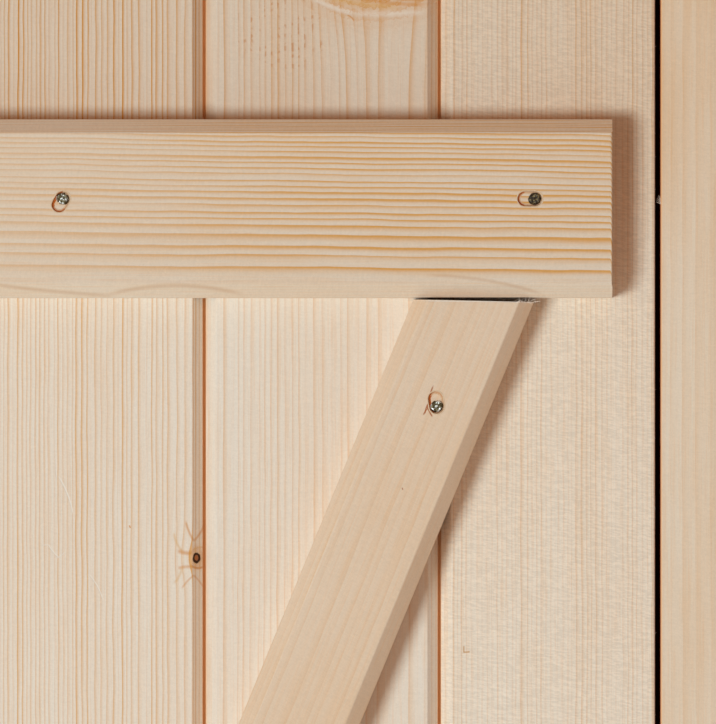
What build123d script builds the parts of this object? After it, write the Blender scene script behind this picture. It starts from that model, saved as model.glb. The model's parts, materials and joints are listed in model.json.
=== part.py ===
from build123d import *
from math import cos, hypot, radians, sin
import os

os.makedirs("parts", exist_ok=True)

# A ledged and braced barn door hung in its timber frame, seen from the ledge side.
# X runs from the hinge side to the latch side, Y from the ledge side to the smooth side, Z up.
# The origin is the middle of the sill's underside.

# Leaf boards: tongued and grooved, V-jointed on both faces
board_count = 9
board_cover = 92.4
board_thickness = 18.0
leaf_height = 1981.0
edge_trim = 7.7
vee_depth = 4.1
joint_slot = 1.2
tongue_thickness = 5.0
tongue_length = 6.0
tongue_side_play = 0.1
tongue_nose_play = 0.8
arris = 0.6

# Ledges and brace
ledge_height = 70.0
ledge_thickness = 20.0
ledge_setback = 17.1
ledge_margin = 102.4
ledge_bevel = 5.4
brace_width = 44.0
brace_bevel = 5.4
brace_inset = 30.0
brace_slit_near = 0.6
brace_slit_far = 1.6
brace_foot_gap = 0.3

# Frame
frame_depth = 94.0
jamb_width = 44.0
head_height = 44.0
sill_height = 25.0
side_gap = 2.2
head_gap = 3.0
foot_gap = 5.0
tenon_thickness = 30.0
tenon_setback = 14.0
tenon_play = 0.15
stop_projection = 12.0
stop_depth = 32.0
stop_gap = 1.0
fixing_count = 3
fixing_pitch = 760.0
fixing_radius = 4.1
fixing_setback = 23.0

# Driven nails with round heads, each at one end of the long dent that its driver left
nail_head_radius = 2.6
nail_head_thickness = 0.8
nail_shank_radius = 1.4
nail_length = 30.0
nail_play = 0.05
nail_head_sides = 8
dent_width = 6.0
dent_depth = 1.0
ledge_nail_shift = -9.0
ledge_nail_rise = 3.8
side_dent_reach = 3.8
low_dent_reach = 2.7
low_dent_turn = 240.0
brace_dent_reach = 2.9
brace_dent_turn = 99.0
brace_nail_count = 5
brace_nail_drop = 42.4
brace_nail_shift = 2.5

# Small rectangular brads through the boards and through the stops
brad_width = 1.6
brad_breadth = 3.0
brad_length = 34.0
brad_play = 0.05
brad_stagger = 36.0
brace_brad_shift = 20.0
stop_brad_length = 28.0
side_stop_brads = 5
head_stop_brads = 3
stop_brad_margin = 80.0

# Hook and band hinges
band_length = 400.0
band_width = 40.0
band_thickness = 5.0
band_tip_radius = 12.0
band_seam = 0.8
pin_radius = 6.0
pin_play = 0.05
pin_rise = 6.0
pin_chamfer = 1.5
collar_height = 8.0
collar_play = 0.3
hook_plate_width = 36.0
hook_plate_height = 110.0
hook_plate_thickness = 5.0
hook_neck_width = 14.0
hook_neck_root = 24.0
hook_screw_spread = 18.0
hook_screw_pitch = 86.0
band_screw_count = 3
band_screw_pitch = 100.0
band_screw_margin = 20.0

# Cup-headed bolt, square washer and nut through each band
coach_bolt_radius = 4.0
coach_bolt_play = 0.2
coach_bolt_inset = 39.0
cup_radius = 10.0
cup_height = 4.5
cup_crown = 3.5
cup_neck = 8.0
cup_neck_depth = 5.0
washer_side = 18.0
washer_thickness = 1.6
nut_across_flats = 13.0
nut_height = 6.5
nut_play = 0.05
bolt_proud = 2.5

# Six-sided coach screws of the hinges, and round-headed screws of the small fittings
coach_screw_across_flats = 10.0
coach_screw_head = 4.0
coach_screw_shank = 2.8
coach_screw_length = 20.0
round_screw_head_radius = 3.6
round_screw_head = 1.8
round_screw_shank = 2.0
round_screw_length = 14.0
screw_play = 0.1
round_screw_head_sides = 16
hidden_shank_sides = 6
coach_bolt_sides = 16
hex_sides = 6

# Sliding bolt and its keeper
bolt_level = 1180.0
bolt_radius = 5.0
bolt_play = 0.3
bolt_throw = 32.0
bolt_end_setback = 4.0
bolt_tail = 4.0
rod_chamfer = 1.0
bolt_plate_length = 160.0
bolt_plate_width = 34.0
bolt_plate_setback = 6.0
bolt_plate_thickness = 2.5
strap_thickness = 2.0
strap_width = 12.0
near_strap_inset = 8.0
far_strap_inset = 45.0
knob_radius = 4.5
knob_height = 14.0
knob_clearance = 3.0
keeper_width = 28.0
keeper_height = 60.0
keeper_inset = 16.0
plate_screw_inset = 9.0
plate_screw_spread = 23.0
keeper_screw_spread = 44.0

# Bow handles
handle_level = 1000.0
handle_span = 110.0
handle_reach = 38.0
handle_bend = 18.0
handle_bar_width = 12.0
handle_bar_thickness = 5.0
foot_length = 40.0
foot_width = 22.0
foot_thickness = 3.0
foot_offset = 13.0
foot_screw_offset = 10.0
front_handle_inset = 40.0
back_handle_inset = 62.0

# Places worked out from the sizes above
leaf_width = board_count * board_cover - 2 * edge_trim
leaf_right = leaf_width / 2
leaf_left = -leaf_right
leaf_foot = sill_height + foot_gap
leaf_top = leaf_foot + leaf_height
face = -frame_depth / 2
leaf_back = face + board_thickness
ledge_face = face - ledge_thickness
jamb_inside = leaf_right + side_gap
jamb_outside = jamb_inside + jamb_width
jamb_middle = jamb_inside + jamb_width / 2
head_underside = leaf_top + head_gap
frame_top = head_underside + head_height
ledge_left = leaf_left + ledge_setback
ledge_right = leaf_right - ledge_setback
lower_ledge = leaf_foot + ledge_margin + ledge_height / 2
upper_ledge = leaf_top - ledge_margin - ledge_height / 2
ledge_levels = [lower_ledge, upper_ledge]
ledge_names = ["ledge_bottom", "ledge_top"]


def board_middle(number):
    """X of the middle of a board's cover, counted from the hinge side."""
    return (number - (board_count + 1) / 2) * board_cover


# The brace's middle line: it rises towards the latch side, from ledge to ledge
brace_foot_level = lower_ledge + ledge_height / 2
brace_top_level = upper_ledge - ledge_height / 2
brace_rise = brace_top_level - brace_foot_level
brace_run = 2 * (ledge_right - brace_inset)
# Its slanted half width and its run depend on each other, and settle after a few turns
settling_turns = 20
for _ in range(settling_turns):
    brace_half = brace_width / 2 * hypot(brace_run, brace_rise) / brace_rise
    brace_run = 2 * (ledge_right - brace_inset - brace_half)
brace_lean = brace_run / brace_rise


def brace_middle(level):
    """X of the brace's middle line at a height."""
    return (level - (brace_foot_level + brace_top_level) / 2) * brace_lean


def brace_level(place):
    """Height of the brace's middle line at an X."""
    return (brace_foot_level + brace_top_level) / 2 + place / brace_lean


# Nail places on the ledge side, as X and Z
side_nails = []
low_nails = []
for number in range(board_count, 0, -2):
    style = side_nails if (board_count - number) % 4 == 0 else low_nails
    for level in ledge_levels:
        style.append((board_middle(number) + ledge_nail_shift, level + ledge_nail_rise))
brace_nail_step = (brace_rise - 2 * brace_nail_drop) / (brace_nail_count - 1)
brace_nail_places = []
for place in range(brace_nail_count):
    level = brace_top_level - brace_nail_drop - place * brace_nail_step
    brace_nail_places.append((brace_middle(level) + brace_nail_shift, level))
ledge_nail_places = side_nails + low_nails

# Brad places on the smooth side: one to each board on each ledge, high and low by turns, and
# one to each inner board on the brace
ledge_brads = []
for number in range(1, board_count + 1):
    turn = 1 if number % 2 else -1
    for level in ledge_levels:
        ledge_brads.append((board_middle(number), level - turn * brad_stagger / 2))
brace_brads = []
for number in range(2, board_count):
    place = board_middle(number) + brace_brad_shift
    brace_brads.append((place, brace_level(place)))

# Hinge line: the eye of each band is rolled forward from the ledge's face
eye_inner = pin_radius + pin_play
eye_outer = eye_inner + band_thickness
hinge_x = -jamb_middle
hinge_y = ledge_face - eye_outer
band_face = ledge_face - band_thickness
band_tip = hinge_x + band_length
coach_bolt_x = ledge_left + coach_bolt_inset
coach_bolts = [(coach_bolt_x, level) for level in ledge_levels]
coach_bolt_end = band_face - washer_thickness - nut_height - bolt_proud
band_screw_places = [
    band_tip - band_screw_margin - step * band_screw_pitch for step in range(band_screw_count)
]

# Hook plates, keeper, stops, handles and bolt plate, with their screws as X and Z
plate_face = face - hook_plate_thickness
hook_seats = [level - band_width / 2 - collar_play for level in ledge_levels]
hook_screw_places = [
    (hinge_x + across * hook_screw_spread / 2, seat - collar_height / 2 + up * hook_screw_pitch / 2)
    for seat in hook_seats
    for across in (-1, 1)
    for up in (-1, 1)
]
keeper_x = jamb_inside + keeper_inset
keeper_face = face - bolt_plate_thickness
keeper_screw_places = [(keeper_x, bolt_level + up * keeper_screw_spread / 2) for up in (-1, 1)]
stop_front = leaf_back + stop_gap
stop_middle = stop_front + stop_depth / 2
board_middle_y = face + board_thickness / 2
handle_screw_span = handle_span / 2 + foot_offset + foot_screw_offset
handle_screw_levels = [handle_level - handle_screw_span, handle_level + handle_screw_span]
front_handle_x = leaf_right - front_handle_inset
back_handle_x = leaf_right - back_handle_inset
front_handle_screws = [(front_handle_x, level) for level in handle_screw_levels]
back_handle_screws = [(back_handle_x, level) for level in handle_screw_levels]
bolt_plate_right = leaf_right - bolt_plate_setback
bolt_plate_left = bolt_plate_right - bolt_plate_length
bolt_plate_screws = [
    (place, bolt_level + side * plate_screw_spread / 2)
    for place in (bolt_plate_left + plate_screw_inset, bolt_plate_right - plate_screw_inset)
    for side in (-1, 1)
]


def near(places, left, right):
    """Those places whose X lies between two values."""
    return [place for place in places if left < place[0] < right]


def bolt_holes(places, mouth, depth):
    """Holes that the coach bolts pass, from a face at Y = mouth towards the smooth side."""
    with BuildSketch(Plane.XZ.offset(-mouth)) as outline:
        with Locations(*places):
            RegularPolygon(coach_bolt_radius + coach_bolt_play, coach_bolt_sides)
    extrude(outline.sketch, amount=-depth, mode=Mode.SUBTRACT)


def pilot(places, seat, shank, length, direction=1):
    """Six-sided holes that hidden screw shanks fill, from the heads' seat towards +Y or -Y."""
    with BuildSketch(Plane.XZ.offset(-seat)) as outline:
        with Locations(*places):
            RegularPolygon(shank + screw_play, hidden_shank_sides)
    extrude(outline.sketch, amount=-direction * (length + screw_play), mode=Mode.SUBTRACT)


def nail_shanks(places, play, mode):
    """Six-sided nail shanks, or with play the holes that they fill."""
    if places:
        with BuildSketch(Plane.XZ.offset(-(ledge_face + dent_depth))) as outline:
            with Locations(*places):
                RegularPolygon(nail_shank_radius + play, hidden_shank_sides)
        extrude(outline.sketch, amount=-(nail_length + play), mode=mode)


def dents(places, reach, turn):
    """Round-ended dents; each nail sits at one end and the dent reaches away from it."""
    aim = radians(turn)
    middles = [(x + reach / 2 * cos(aim), z + reach / 2 * sin(aim)) for x, z in places]
    with BuildSketch(Plane.XZ.offset(-ledge_face)) as outline:
        with Locations(*middles):
            SlotCenterToCenter(reach, dent_width, rotation=turn)
    extrude(outline.sketch, amount=-dent_depth, mode=Mode.SUBTRACT)


def board_brads(places, play, mode):
    """Brads driven flush into the smooth side, or with play the slots that they fill."""
    middle = leaf_back - brad_length / 2
    with Locations(*[(x, middle, z) for x, z in places]):
        Box(brad_width + 2 * play, brad_length + 2 * play, brad_breadth + 2 * play, mode=mode)


def side_stop_brad_boxes(side, play, mode):
    """Brads through a side stop into its jamb, or with play the slots that they fill."""
    run = head_underside - stop_projection - sill_height - 2 * stop_brad_margin
    start = sill_height + stop_brad_margin
    middle_x = side * (jamb_inside - stop_projection + stop_brad_length / 2)
    levels = [start + run * step / (side_stop_brads - 1) for step in range(side_stop_brads)]
    with Locations(*[(middle_x, stop_middle, level) for level in levels]):
        Box(stop_brad_length + 2 * play, brad_width + 2 * play, brad_breadth + 2 * play, mode=mode)


def head_stop_brad_boxes(play, mode):
    """Brads through the head stop into the head, or with play the slots that they fill."""
    run = 2 * (jamb_inside - stop_brad_margin)
    start = -run / 2
    level = head_underside - stop_projection + stop_brad_length / 2
    places = [start + run * step / (head_stop_brads - 1) for step in range(head_stop_brads)]
    with Locations(*[(place, stop_middle, level) for place in places]):
        Box(brad_breadth + 2 * play, brad_width + 2 * play, stop_brad_length + 2 * play, mode=mode)


def finish(piece, name):
    """Label a finished piece and write it to its own file."""
    piece.part.label = name
    export_step(piece.part, f"parts/{name}.step")


# Boards: the body is chamfered to half a V at each joint, with a tongue on the latch side
# and a groove on the hinge side; the outer edges are sawn square and their arrises eased
for number in range(1, board_count + 1):
    joint = board_middle(number) - board_cover / 2
    first = number == 1
    last = number == board_count
    left = leaf_left if first else joint + joint_slot / 2
    right = leaf_right if last else joint + board_cover - joint_slot / 2
    with BuildPart() as board:
        with BuildSketch(Plane.XY.offset(leaf_foot)) as section:
            with Locations(((left + right) / 2, board_middle_y)):
                Rectangle(right - left, board_thickness)
            chamfer(section.vertices().group_by(Axis.X)[0], arris if first else vee_depth)
            chamfer(section.vertices().group_by(Axis.X)[-1], arris if last else vee_depth)
            if not last:
                with Locations((right, board_middle_y)):
                    Rectangle(2 * tongue_length, tongue_thickness)
            if not first:
                groove = tongue_length - joint_slot + tongue_nose_play
                with Locations((left, board_middle_y)):
                    Rectangle(2 * groove, tongue_thickness + 2 * tongue_side_play, mode=Mode.SUBTRACT)
        extrude(amount=leaf_height)
        reach = tongue_length + nail_shank_radius
        own_nails = near(ledge_nail_places + brace_nail_places, left - reach, right + reach)
        nail_shanks(own_nails, nail_play, Mode.SUBTRACT)
        board_brads(near(ledge_brads + brace_brads, left, right), brad_play, Mode.SUBTRACT)
        own_coach_bolts = near(coach_bolts, left, right)
        if own_coach_bolts:
            bolt_holes(own_coach_bolts, face, board_thickness)
            with Locations(*[(x, leaf_back - cup_neck_depth / 2, z) for x, z in own_coach_bolts]):
                Box(
                    cup_neck + 2 * coach_bolt_play,
                    cup_neck_depth + 2 * coach_bolt_play,
                    cup_neck + 2 * coach_bolt_play,
                    mode=Mode.SUBTRACT,
                )
        own_screw_sets = (
            (near(front_handle_screws, left, right), face - foot_thickness, 1),
            (near(bolt_plate_screws, left, right), face - bolt_plate_thickness, 1),
            (near(back_handle_screws, left, right), leaf_back + foot_thickness, -1),
        )
        for places, seat, direction in own_screw_sets:
            if places:
                pilot(places, seat, round_screw_shank, round_screw_length, direction)
    finish(board, f"board_{number}")

# Ledges: planed battens with both long front edges bevelled
for name, level in zip(ledge_names, ledge_levels):
    with BuildPart() as ledge:
        with Locations(((ledge_left + ledge_right) / 2, (face + ledge_face) / 2, level)):
            Box(ledge_right - ledge_left, ledge_thickness, ledge_height)
        front_edges = ledge.faces().sort_by(Axis.Y)[0].edges()
        chamfer(front_edges.filter_by(Axis.X), ledge_bevel)
        front_edges = ledge.faces().sort_by(Axis.Y)[0].edges()
        chamfer(front_edges.filter_by(Axis.Z), arris)
        own_side_nails = [place for place in side_nails if abs(place[1] - level) < ledge_height / 2]
        own_low_nails = [place for place in low_nails if abs(place[1] - level) < ledge_height / 2]
        own_brads = [place for place in ledge_brads if abs(place[1] - level) < ledge_height / 2]
        dents(own_side_nails, side_dent_reach, 180.0)
        dents(own_low_nails, low_dent_reach, low_dent_turn)
        nail_shanks(own_side_nails + own_low_nails, nail_play, Mode.SUBTRACT)
        board_brads(own_brads, brad_play, Mode.SUBTRACT)
        bolt_holes([(coach_bolt_x, level)], ledge_face, ledge_thickness)
        screw_places = [(place, level) for place in band_screw_places]
        pilot(screw_places, band_face, coach_screw_shank, coach_screw_length)
    finish(ledge, name)

# Brace: cut to lie between the ledges; its head leaves a tapering slit under the upper ledge
with BuildPart() as brace:
    foot_level = brace_foot_level + brace_foot_gap
    near_level = brace_top_level - brace_slit_near
    far_level = brace_top_level - brace_slit_far
    with BuildSketch(Plane.XZ.offset(-face)):
        with BuildLine():
            Polyline(
                (brace_middle(foot_level) - brace_half, foot_level),
                (brace_middle(foot_level) + brace_half, foot_level),
                (brace_middle(far_level) + brace_half, far_level),
                (brace_middle(near_level) - brace_half, near_level),
                close=True,
            )
        make_face()
    extrude(amount=ledge_thickness)
    long_edges = brace.faces().sort_by(Axis.Y)[0].edges().sort_by(SortBy.LENGTH)[-2:]
    chamfer(long_edges, brace_bevel)
    dents(brace_nail_places, brace_dent_reach, brace_dent_turn)
    nail_shanks(brace_nail_places, nail_play, Mode.SUBTRACT)
    board_brads(brace_brads, brad_play, Mode.SUBTRACT)
finish(brace, "brace")

# Nails driven from the ledge side
for name, places in (("ledge_nails", ledge_nail_places), ("brace_nails", brace_nail_places)):
    with BuildPart() as nails:
        nail_shanks(places, 0.0, Mode.ADD)
        with BuildSketch(Plane.XZ.offset(-(ledge_face + dent_depth))):
            with Locations(*places):
                RegularPolygon(nail_head_radius, nail_head_sides)
        extrude(amount=nail_head_thickness)
    finish(nails, name)

# Brads driven from the smooth side
with BuildPart() as face_brads:
    board_brads(ledge_brads + brace_brads, 0.0, Mode.ADD)
finish(face_brads, "face_brads")

# Jambs: the tenon runs on through the head and the sill
for name, side in (("jamb_hinge_side", -1), ("jamb_latch_side", 1)):
    with BuildPart() as jamb:
        with BuildSketch(Plane.XY.offset(sill_height)) as section:
            with Locations((side * jamb_middle, 0)):
                Rectangle(jamb_width, frame_depth)
            chamfer(section.vertices(), arris)
        extrude(amount=head_underside - sill_height)
        with BuildSketch(Plane.XY):
            with Locations((side * (jamb_middle - tenon_setback / 2), 0)):
                Rectangle(jamb_width - tenon_setback - 2 * tenon_play, tenon_thickness)
        extrude(amount=frame_top)
        first_fixing = (sill_height + head_underside) / 2 - fixing_pitch * (fixing_count - 1) / 2
        fixing_levels = [first_fixing + step * fixing_pitch for step in range(fixing_count)]
        fixing_y = frame_depth / 2 - fixing_setback
        with Locations(*[Location((side * jamb_middle, fixing_y, z), (0, 90, 0)) for z in fixing_levels]):
            Hole(fixing_radius, jamb_width)
        side_stop_brad_boxes(side, brad_play, Mode.SUBTRACT)
        if side < 0:
            pilot(hook_screw_places, plate_face, coach_screw_shank, coach_screw_length)
        else:
            pilot(keeper_screw_places, keeper_face, round_screw_shank, round_screw_length)
    finish(jamb, name)

# Head and sill, mortised for the jambs' tenons
for name, bottom, height in (("head", head_underside, head_height), ("sill", 0.0, sill_height)):
    with BuildPart() as rail:
        with BuildSketch(Plane.YZ.offset(-jamb_outside)) as section:
            with Locations((0, bottom + height / 2)):
                Rectangle(frame_depth, height)
            chamfer(section.vertices(), arris)
        extrude(amount=2 * jamb_outside)
        with BuildSketch(Plane.XY.offset(bottom)):
            with Locations(
                (-(jamb_middle - tenon_setback / 2), 0), (jamb_middle - tenon_setback / 2, 0)
            ):
                Rectangle(jamb_width - tenon_setback, tenon_thickness + 2 * tenon_play)
        extrude(amount=height, mode=Mode.SUBTRACT)
        if name == "head":
            head_stop_brad_boxes(brad_play, Mode.SUBTRACT)
    finish(rail, name)

# Planted stops behind the leaf
for name, side in (("stop_hinge_side", -1), ("stop_latch_side", 1)):
    with BuildPart() as stop:
        with BuildSketch(Plane.XY.offset(sill_height)) as section:
            with Locations((side * (jamb_inside - stop_projection / 2), stop_middle)):
                Rectangle(stop_projection, stop_depth)
            chamfer(section.vertices().sort_by(Axis.X)[::side][:2], arris)
        extrude(amount=head_underside - stop_projection - sill_height)
        side_stop_brad_boxes(side, brad_play, Mode.SUBTRACT)
    finish(stop, name)
with BuildPart() as stop_head:
    with BuildSketch(Plane.YZ.offset(-jamb_inside)) as section:
        with Locations((stop_middle, head_underside - stop_projection / 2)):
            Rectangle(stop_depth, stop_projection)
        chamfer(section.vertices().group_by(Axis.Y)[0], arris)
    extrude(amount=2 * jamb_inside)
    head_stop_brad_boxes(brad_play, Mode.SUBTRACT)
finish(stop_head, "stop_head")
with BuildPart() as stop_brads:
    side_stop_brad_boxes(-1, 0.0, Mode.ADD)
    side_stop_brad_boxes(1, 0.0, Mode.ADD)
    head_stop_brad_boxes(0.0, Mode.ADD)
finish(stop_brads, "stop_brads")

# Bands: flat bar rolled into an eye round the hook's pin, closing at a narrow seam
for name, level in zip(("band_bottom", "band_top"), ledge_levels):
    with BuildPart() as band:
        with BuildSketch(Plane.XY.offset(level - band_width / 2)):
            with Locations((hinge_x, hinge_y)):
                Circle(eye_outer)
            with Locations(((hinge_x + band_tip) / 2, ledge_face - band_thickness / 2)):
                Rectangle(band_tip - hinge_x, band_thickness)
            with Locations((hinge_x, hinge_y)):
                Circle(eye_inner, mode=Mode.SUBTRACT)
            with Locations((hinge_x + eye_outer / 2, band_face - band_seam / 2)):
                Rectangle(eye_outer, band_seam, mode=Mode.SUBTRACT)
        extrude(amount=band_width)
        fillet(band.edges().filter_by(Axis.Y).sort_by(Axis.X)[-2:], band_tip_radius)
        bolt_holes([(coach_bolt_x, level)], band_face, band_thickness)
        screw_places = [(place, level) for place in band_screw_places]
        pilot(screw_places, band_face, coach_screw_shank, coach_screw_length)
    finish(band, name)

# Hooks: a screwed plate, a forged neck, a collar that carries the eye, and the pin
for name, seat in zip(("hook_bottom", "hook_top"), hook_seats):
    middle = seat - collar_height / 2
    with BuildPart() as hook:
        with Locations((hinge_x, (face + plate_face) / 2, middle)):
            Box(hook_plate_width, hook_plate_thickness, hook_plate_height)
        chamfer(hook.edges().filter_by(Axis.Y), hook_plate_thickness)
        with BuildSketch(Plane.YZ.offset(hinge_x)):
            with BuildLine():
                Polyline(
                    (plate_face, seat - hook_neck_root),
                    (plate_face, seat),
                    (hinge_y, seat),
                    (hinge_y, seat - collar_height),
                    close=True,
                )
            make_face()
        extrude(amount=hook_neck_width / 2, both=True)
        with BuildSketch(Plane.XY.offset(seat - collar_height)):
            with Locations((hinge_x, hinge_y)):
                Circle(eye_outer)
        extrude(amount=collar_height)
        with BuildSketch(Plane.XY.offset(seat)):
            with Locations((hinge_x, hinge_y)):
                Circle(pin_radius)
        extrude(amount=collar_play + band_width + pin_rise)
        chamfer(hook.faces().sort_by(Axis.Z)[-1].edges(), pin_chamfer)
        own_screws = [place for place in hook_screw_places if abs(place[1] - middle) < hook_plate_height / 2]
        pilot(own_screws, plate_face, coach_screw_shank, coach_screw_length)
    finish(hook, name)

# Cup-headed bolts, washers and nuts
with BuildPart() as hinge_bolts:
    with BuildSketch(Plane.XZ.offset(-leaf_back)):
        with Locations(*coach_bolts):
            RegularPolygon(coach_bolt_radius, coach_bolt_sides)
    extrude(amount=leaf_back - coach_bolt_end)
    with Locations(*[(x, leaf_back - cup_neck_depth / 2, z) for x, z in coach_bolts]):
        Box(cup_neck, cup_neck_depth, cup_neck)
    with BuildSketch(Plane.XZ.offset(-leaf_back)):
        with Locations(*coach_bolts):
            RegularPolygon(cup_radius, coach_bolt_sides)
    extrude(amount=-cup_height)
    cup_rims = hinge_bolts.faces().group_by(Axis.Y)[-1].edges()
    chamfer(cup_rims, cup_crown)
finish(hinge_bolts, "hinge_bolts")
with BuildPart() as hinge_washers:
    with BuildSketch(Plane.XZ.offset(-band_face)):
        with Locations(*coach_bolts):
            Rectangle(washer_side, washer_side)
            RegularPolygon(
                coach_bolt_radius + coach_bolt_play, coach_bolt_sides, mode=Mode.SUBTRACT
            )
    extrude(amount=washer_thickness)
finish(hinge_washers, "hinge_washers")
with BuildPart() as hinge_nuts:
    with BuildSketch(Plane.XZ.offset(-(band_face - washer_thickness))):
        with Locations(*coach_bolts):
            RegularPolygon(nut_across_flats / 2, hex_sides, major_radius=False)
            RegularPolygon(coach_bolt_radius + nut_play, coach_bolt_sides, mode=Mode.SUBTRACT)
    extrude(amount=nut_height)
finish(hinge_nuts, "hinge_nuts")

# One coach screw and one round-headed screw, each with its head's seat at the origin
# and its point towards the smooth side
with BuildPart() as coach_screw:
    with BuildSketch(Plane.XZ):
        RegularPolygon(coach_screw_across_flats / 2, hex_sides, major_radius=False)
    extrude(amount=coach_screw_head)
    with BuildSketch(Plane.XZ):
        RegularPolygon(coach_screw_shank, hidden_shank_sides)
    extrude(amount=-coach_screw_length)
with BuildPart() as round_screw:
    with BuildSketch(Plane.XZ):
        RegularPolygon(round_screw_head_radius, round_screw_head_sides)
    extrude(amount=round_screw_head)
    with BuildSketch(Plane.XZ):
        RegularPolygon(round_screw_shank, hidden_shank_sides)
    extrude(amount=-round_screw_length)


def screws(name, screw, fronts, front_seat, backs=(), back_seat=0.0):
    """A set of screws driven from the ledge side, and from the smooth side, at X and Z places."""
    with BuildPart() as group:
        with Locations(*[Location((x, front_seat, z)) for x, z in fronts]):
            add(screw.part)
        if backs:
            with Locations(*[Location((x, back_seat, z), (0, 0, 180)) for x, z in backs]):
                add(screw.part)
    finish(group, name)


band_screw_centres = [(x, level) for x in band_screw_places for level in ledge_levels]
screws("band_screws", coach_screw, band_screw_centres, band_face)
screws("hook_screws", coach_screw, hook_screw_places, plate_face)
foot_face = face - foot_thickness
back_foot_face = leaf_back + foot_thickness
screws(
    "handle_screws",
    round_screw,
    front_handle_screws,
    foot_face,
    back_handle_screws,
    back_foot_face,
)
screws("bolt_screws", round_screw, bolt_plate_screws, keeper_face)
screws("keeper_screws", round_screw, keeper_screw_places, keeper_face)

# Sliding bolt: a pressed plate whose straps guide the rod, and a keeper with a strap alike
bolt_y = keeper_face - bolt_play - bolt_radius
strap_inner = bolt_radius + bolt_play
strap_outer = strap_inner + strap_thickness
near_strap = bolt_plate_right - near_strap_inset
far_strap = bolt_plate_left + far_strap_inset


def strap(middle):
    """Arched strap round the rod's line, standing on its plate."""
    with BuildSketch(Plane.YZ.offset(middle - strap_width / 2)) as arch:
        with Locations((bolt_y, bolt_level)):
            Circle(strap_outer)
        with Locations(((bolt_y + keeper_face) / 2, bolt_level)):
            Rectangle(keeper_face - bolt_y, 2 * strap_outer)
        with Locations((bolt_y, bolt_level)):
            Circle(strap_inner, mode=Mode.SUBTRACT)
        with Locations(((bolt_y + keeper_face) / 2, bolt_level)):
            Rectangle(keeper_face - bolt_y, 2 * strap_inner, mode=Mode.SUBTRACT)
    extrude(arch.sketch, amount=strap_width)


with BuildPart() as bolt_plate:
    middle_x = (bolt_plate_left + bolt_plate_right) / 2
    with Locations((middle_x, face - bolt_plate_thickness / 2, bolt_level)):
        Box(bolt_plate_length, bolt_plate_thickness, bolt_plate_width)
    fillet(bolt_plate.edges().filter_by(Axis.Y), bolt_plate_thickness)
    strap(near_strap)
    strap(far_strap)
    pilot(bolt_plate_screws, keeper_face, round_screw_shank, round_screw_length)
finish(bolt_plate, "bolt_plate")

with BuildPart() as bolt_keeper:
    with Locations((keeper_x, face - bolt_plate_thickness / 2, bolt_level)):
        Box(keeper_width, bolt_plate_thickness, keeper_height)
    fillet(bolt_keeper.edges().filter_by(Axis.Y), bolt_plate_thickness)
    strap(keeper_x)
    pilot(keeper_screw_places, keeper_face, round_screw_shank, round_screw_length)
finish(bolt_keeper, "bolt_keeper")

with BuildPart() as bolt_rod:
    rod_right = leaf_right - bolt_end_setback
    rod_left = far_strap - strap_width / 2 - bolt_throw - bolt_tail
    knob_x = far_strap + strap_width / 2 + knob_clearance + knob_radius
    with BuildSketch(Plane.YZ.offset(rod_left)):
        with Locations((bolt_y, bolt_level)):
            Circle(bolt_radius)
    extrude(amount=rod_right - rod_left)
    chamfer(bolt_rod.edges().sort_by(Axis.X)[-1], rod_chamfer)
    with BuildSketch(Plane.XZ.offset(-bolt_y)):
        with Locations((knob_x, bolt_level)):
            Circle(knob_radius)
    extrude(amount=bolt_radius + knob_height)
finish(bolt_rod, "bolt_rod")

# Bow handles: a flat bar bent to a bow between two round-ended feet
for name, middle_x, root, out in (
    ("handle_front", front_handle_x, face, -1),
    ("handle_back", back_handle_x, leaf_back, 1),
):
    screw_places = [(middle_x, level) for level in handle_screw_levels]
    foot_middle = handle_span / 2 + foot_offset
    with BuildPart() as handle:
        with BuildSketch(Plane.XZ.offset(-root)):
            with Locations(
                (middle_x, handle_level - foot_middle), (middle_x, handle_level + foot_middle)
            ):
                SlotOverall(foot_length, foot_width, rotation=90)
        extrude(amount=-out * foot_thickness)
        with BuildLine(Plane.YZ.offset(middle_x)) as bow:
            FilletPolyline(
                (root + out * foot_thickness / 2, handle_level - handle_span / 2),
                (root + out * handle_reach, handle_level - handle_span / 2),
                (root + out * handle_reach, handle_level + handle_span / 2),
                (root + out * foot_thickness / 2, handle_level + handle_span / 2),
                radius=handle_bend,
            )
        with BuildSketch(Plane(bow.line @ 0, x_dir=(1, 0, 0), z_dir=bow.line % 0)):
            Rectangle(handle_bar_width, handle_bar_thickness)
        sweep(path=bow.line)
        seat = root + out * foot_thickness
        pilot(screw_places, seat, round_screw_shank, round_screw_length, -out)
    finish(handle, name)
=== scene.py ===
import json
from math import atan2, cos, pi, radians, sin

import bmesh
import bpy
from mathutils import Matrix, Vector, noise

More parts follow.
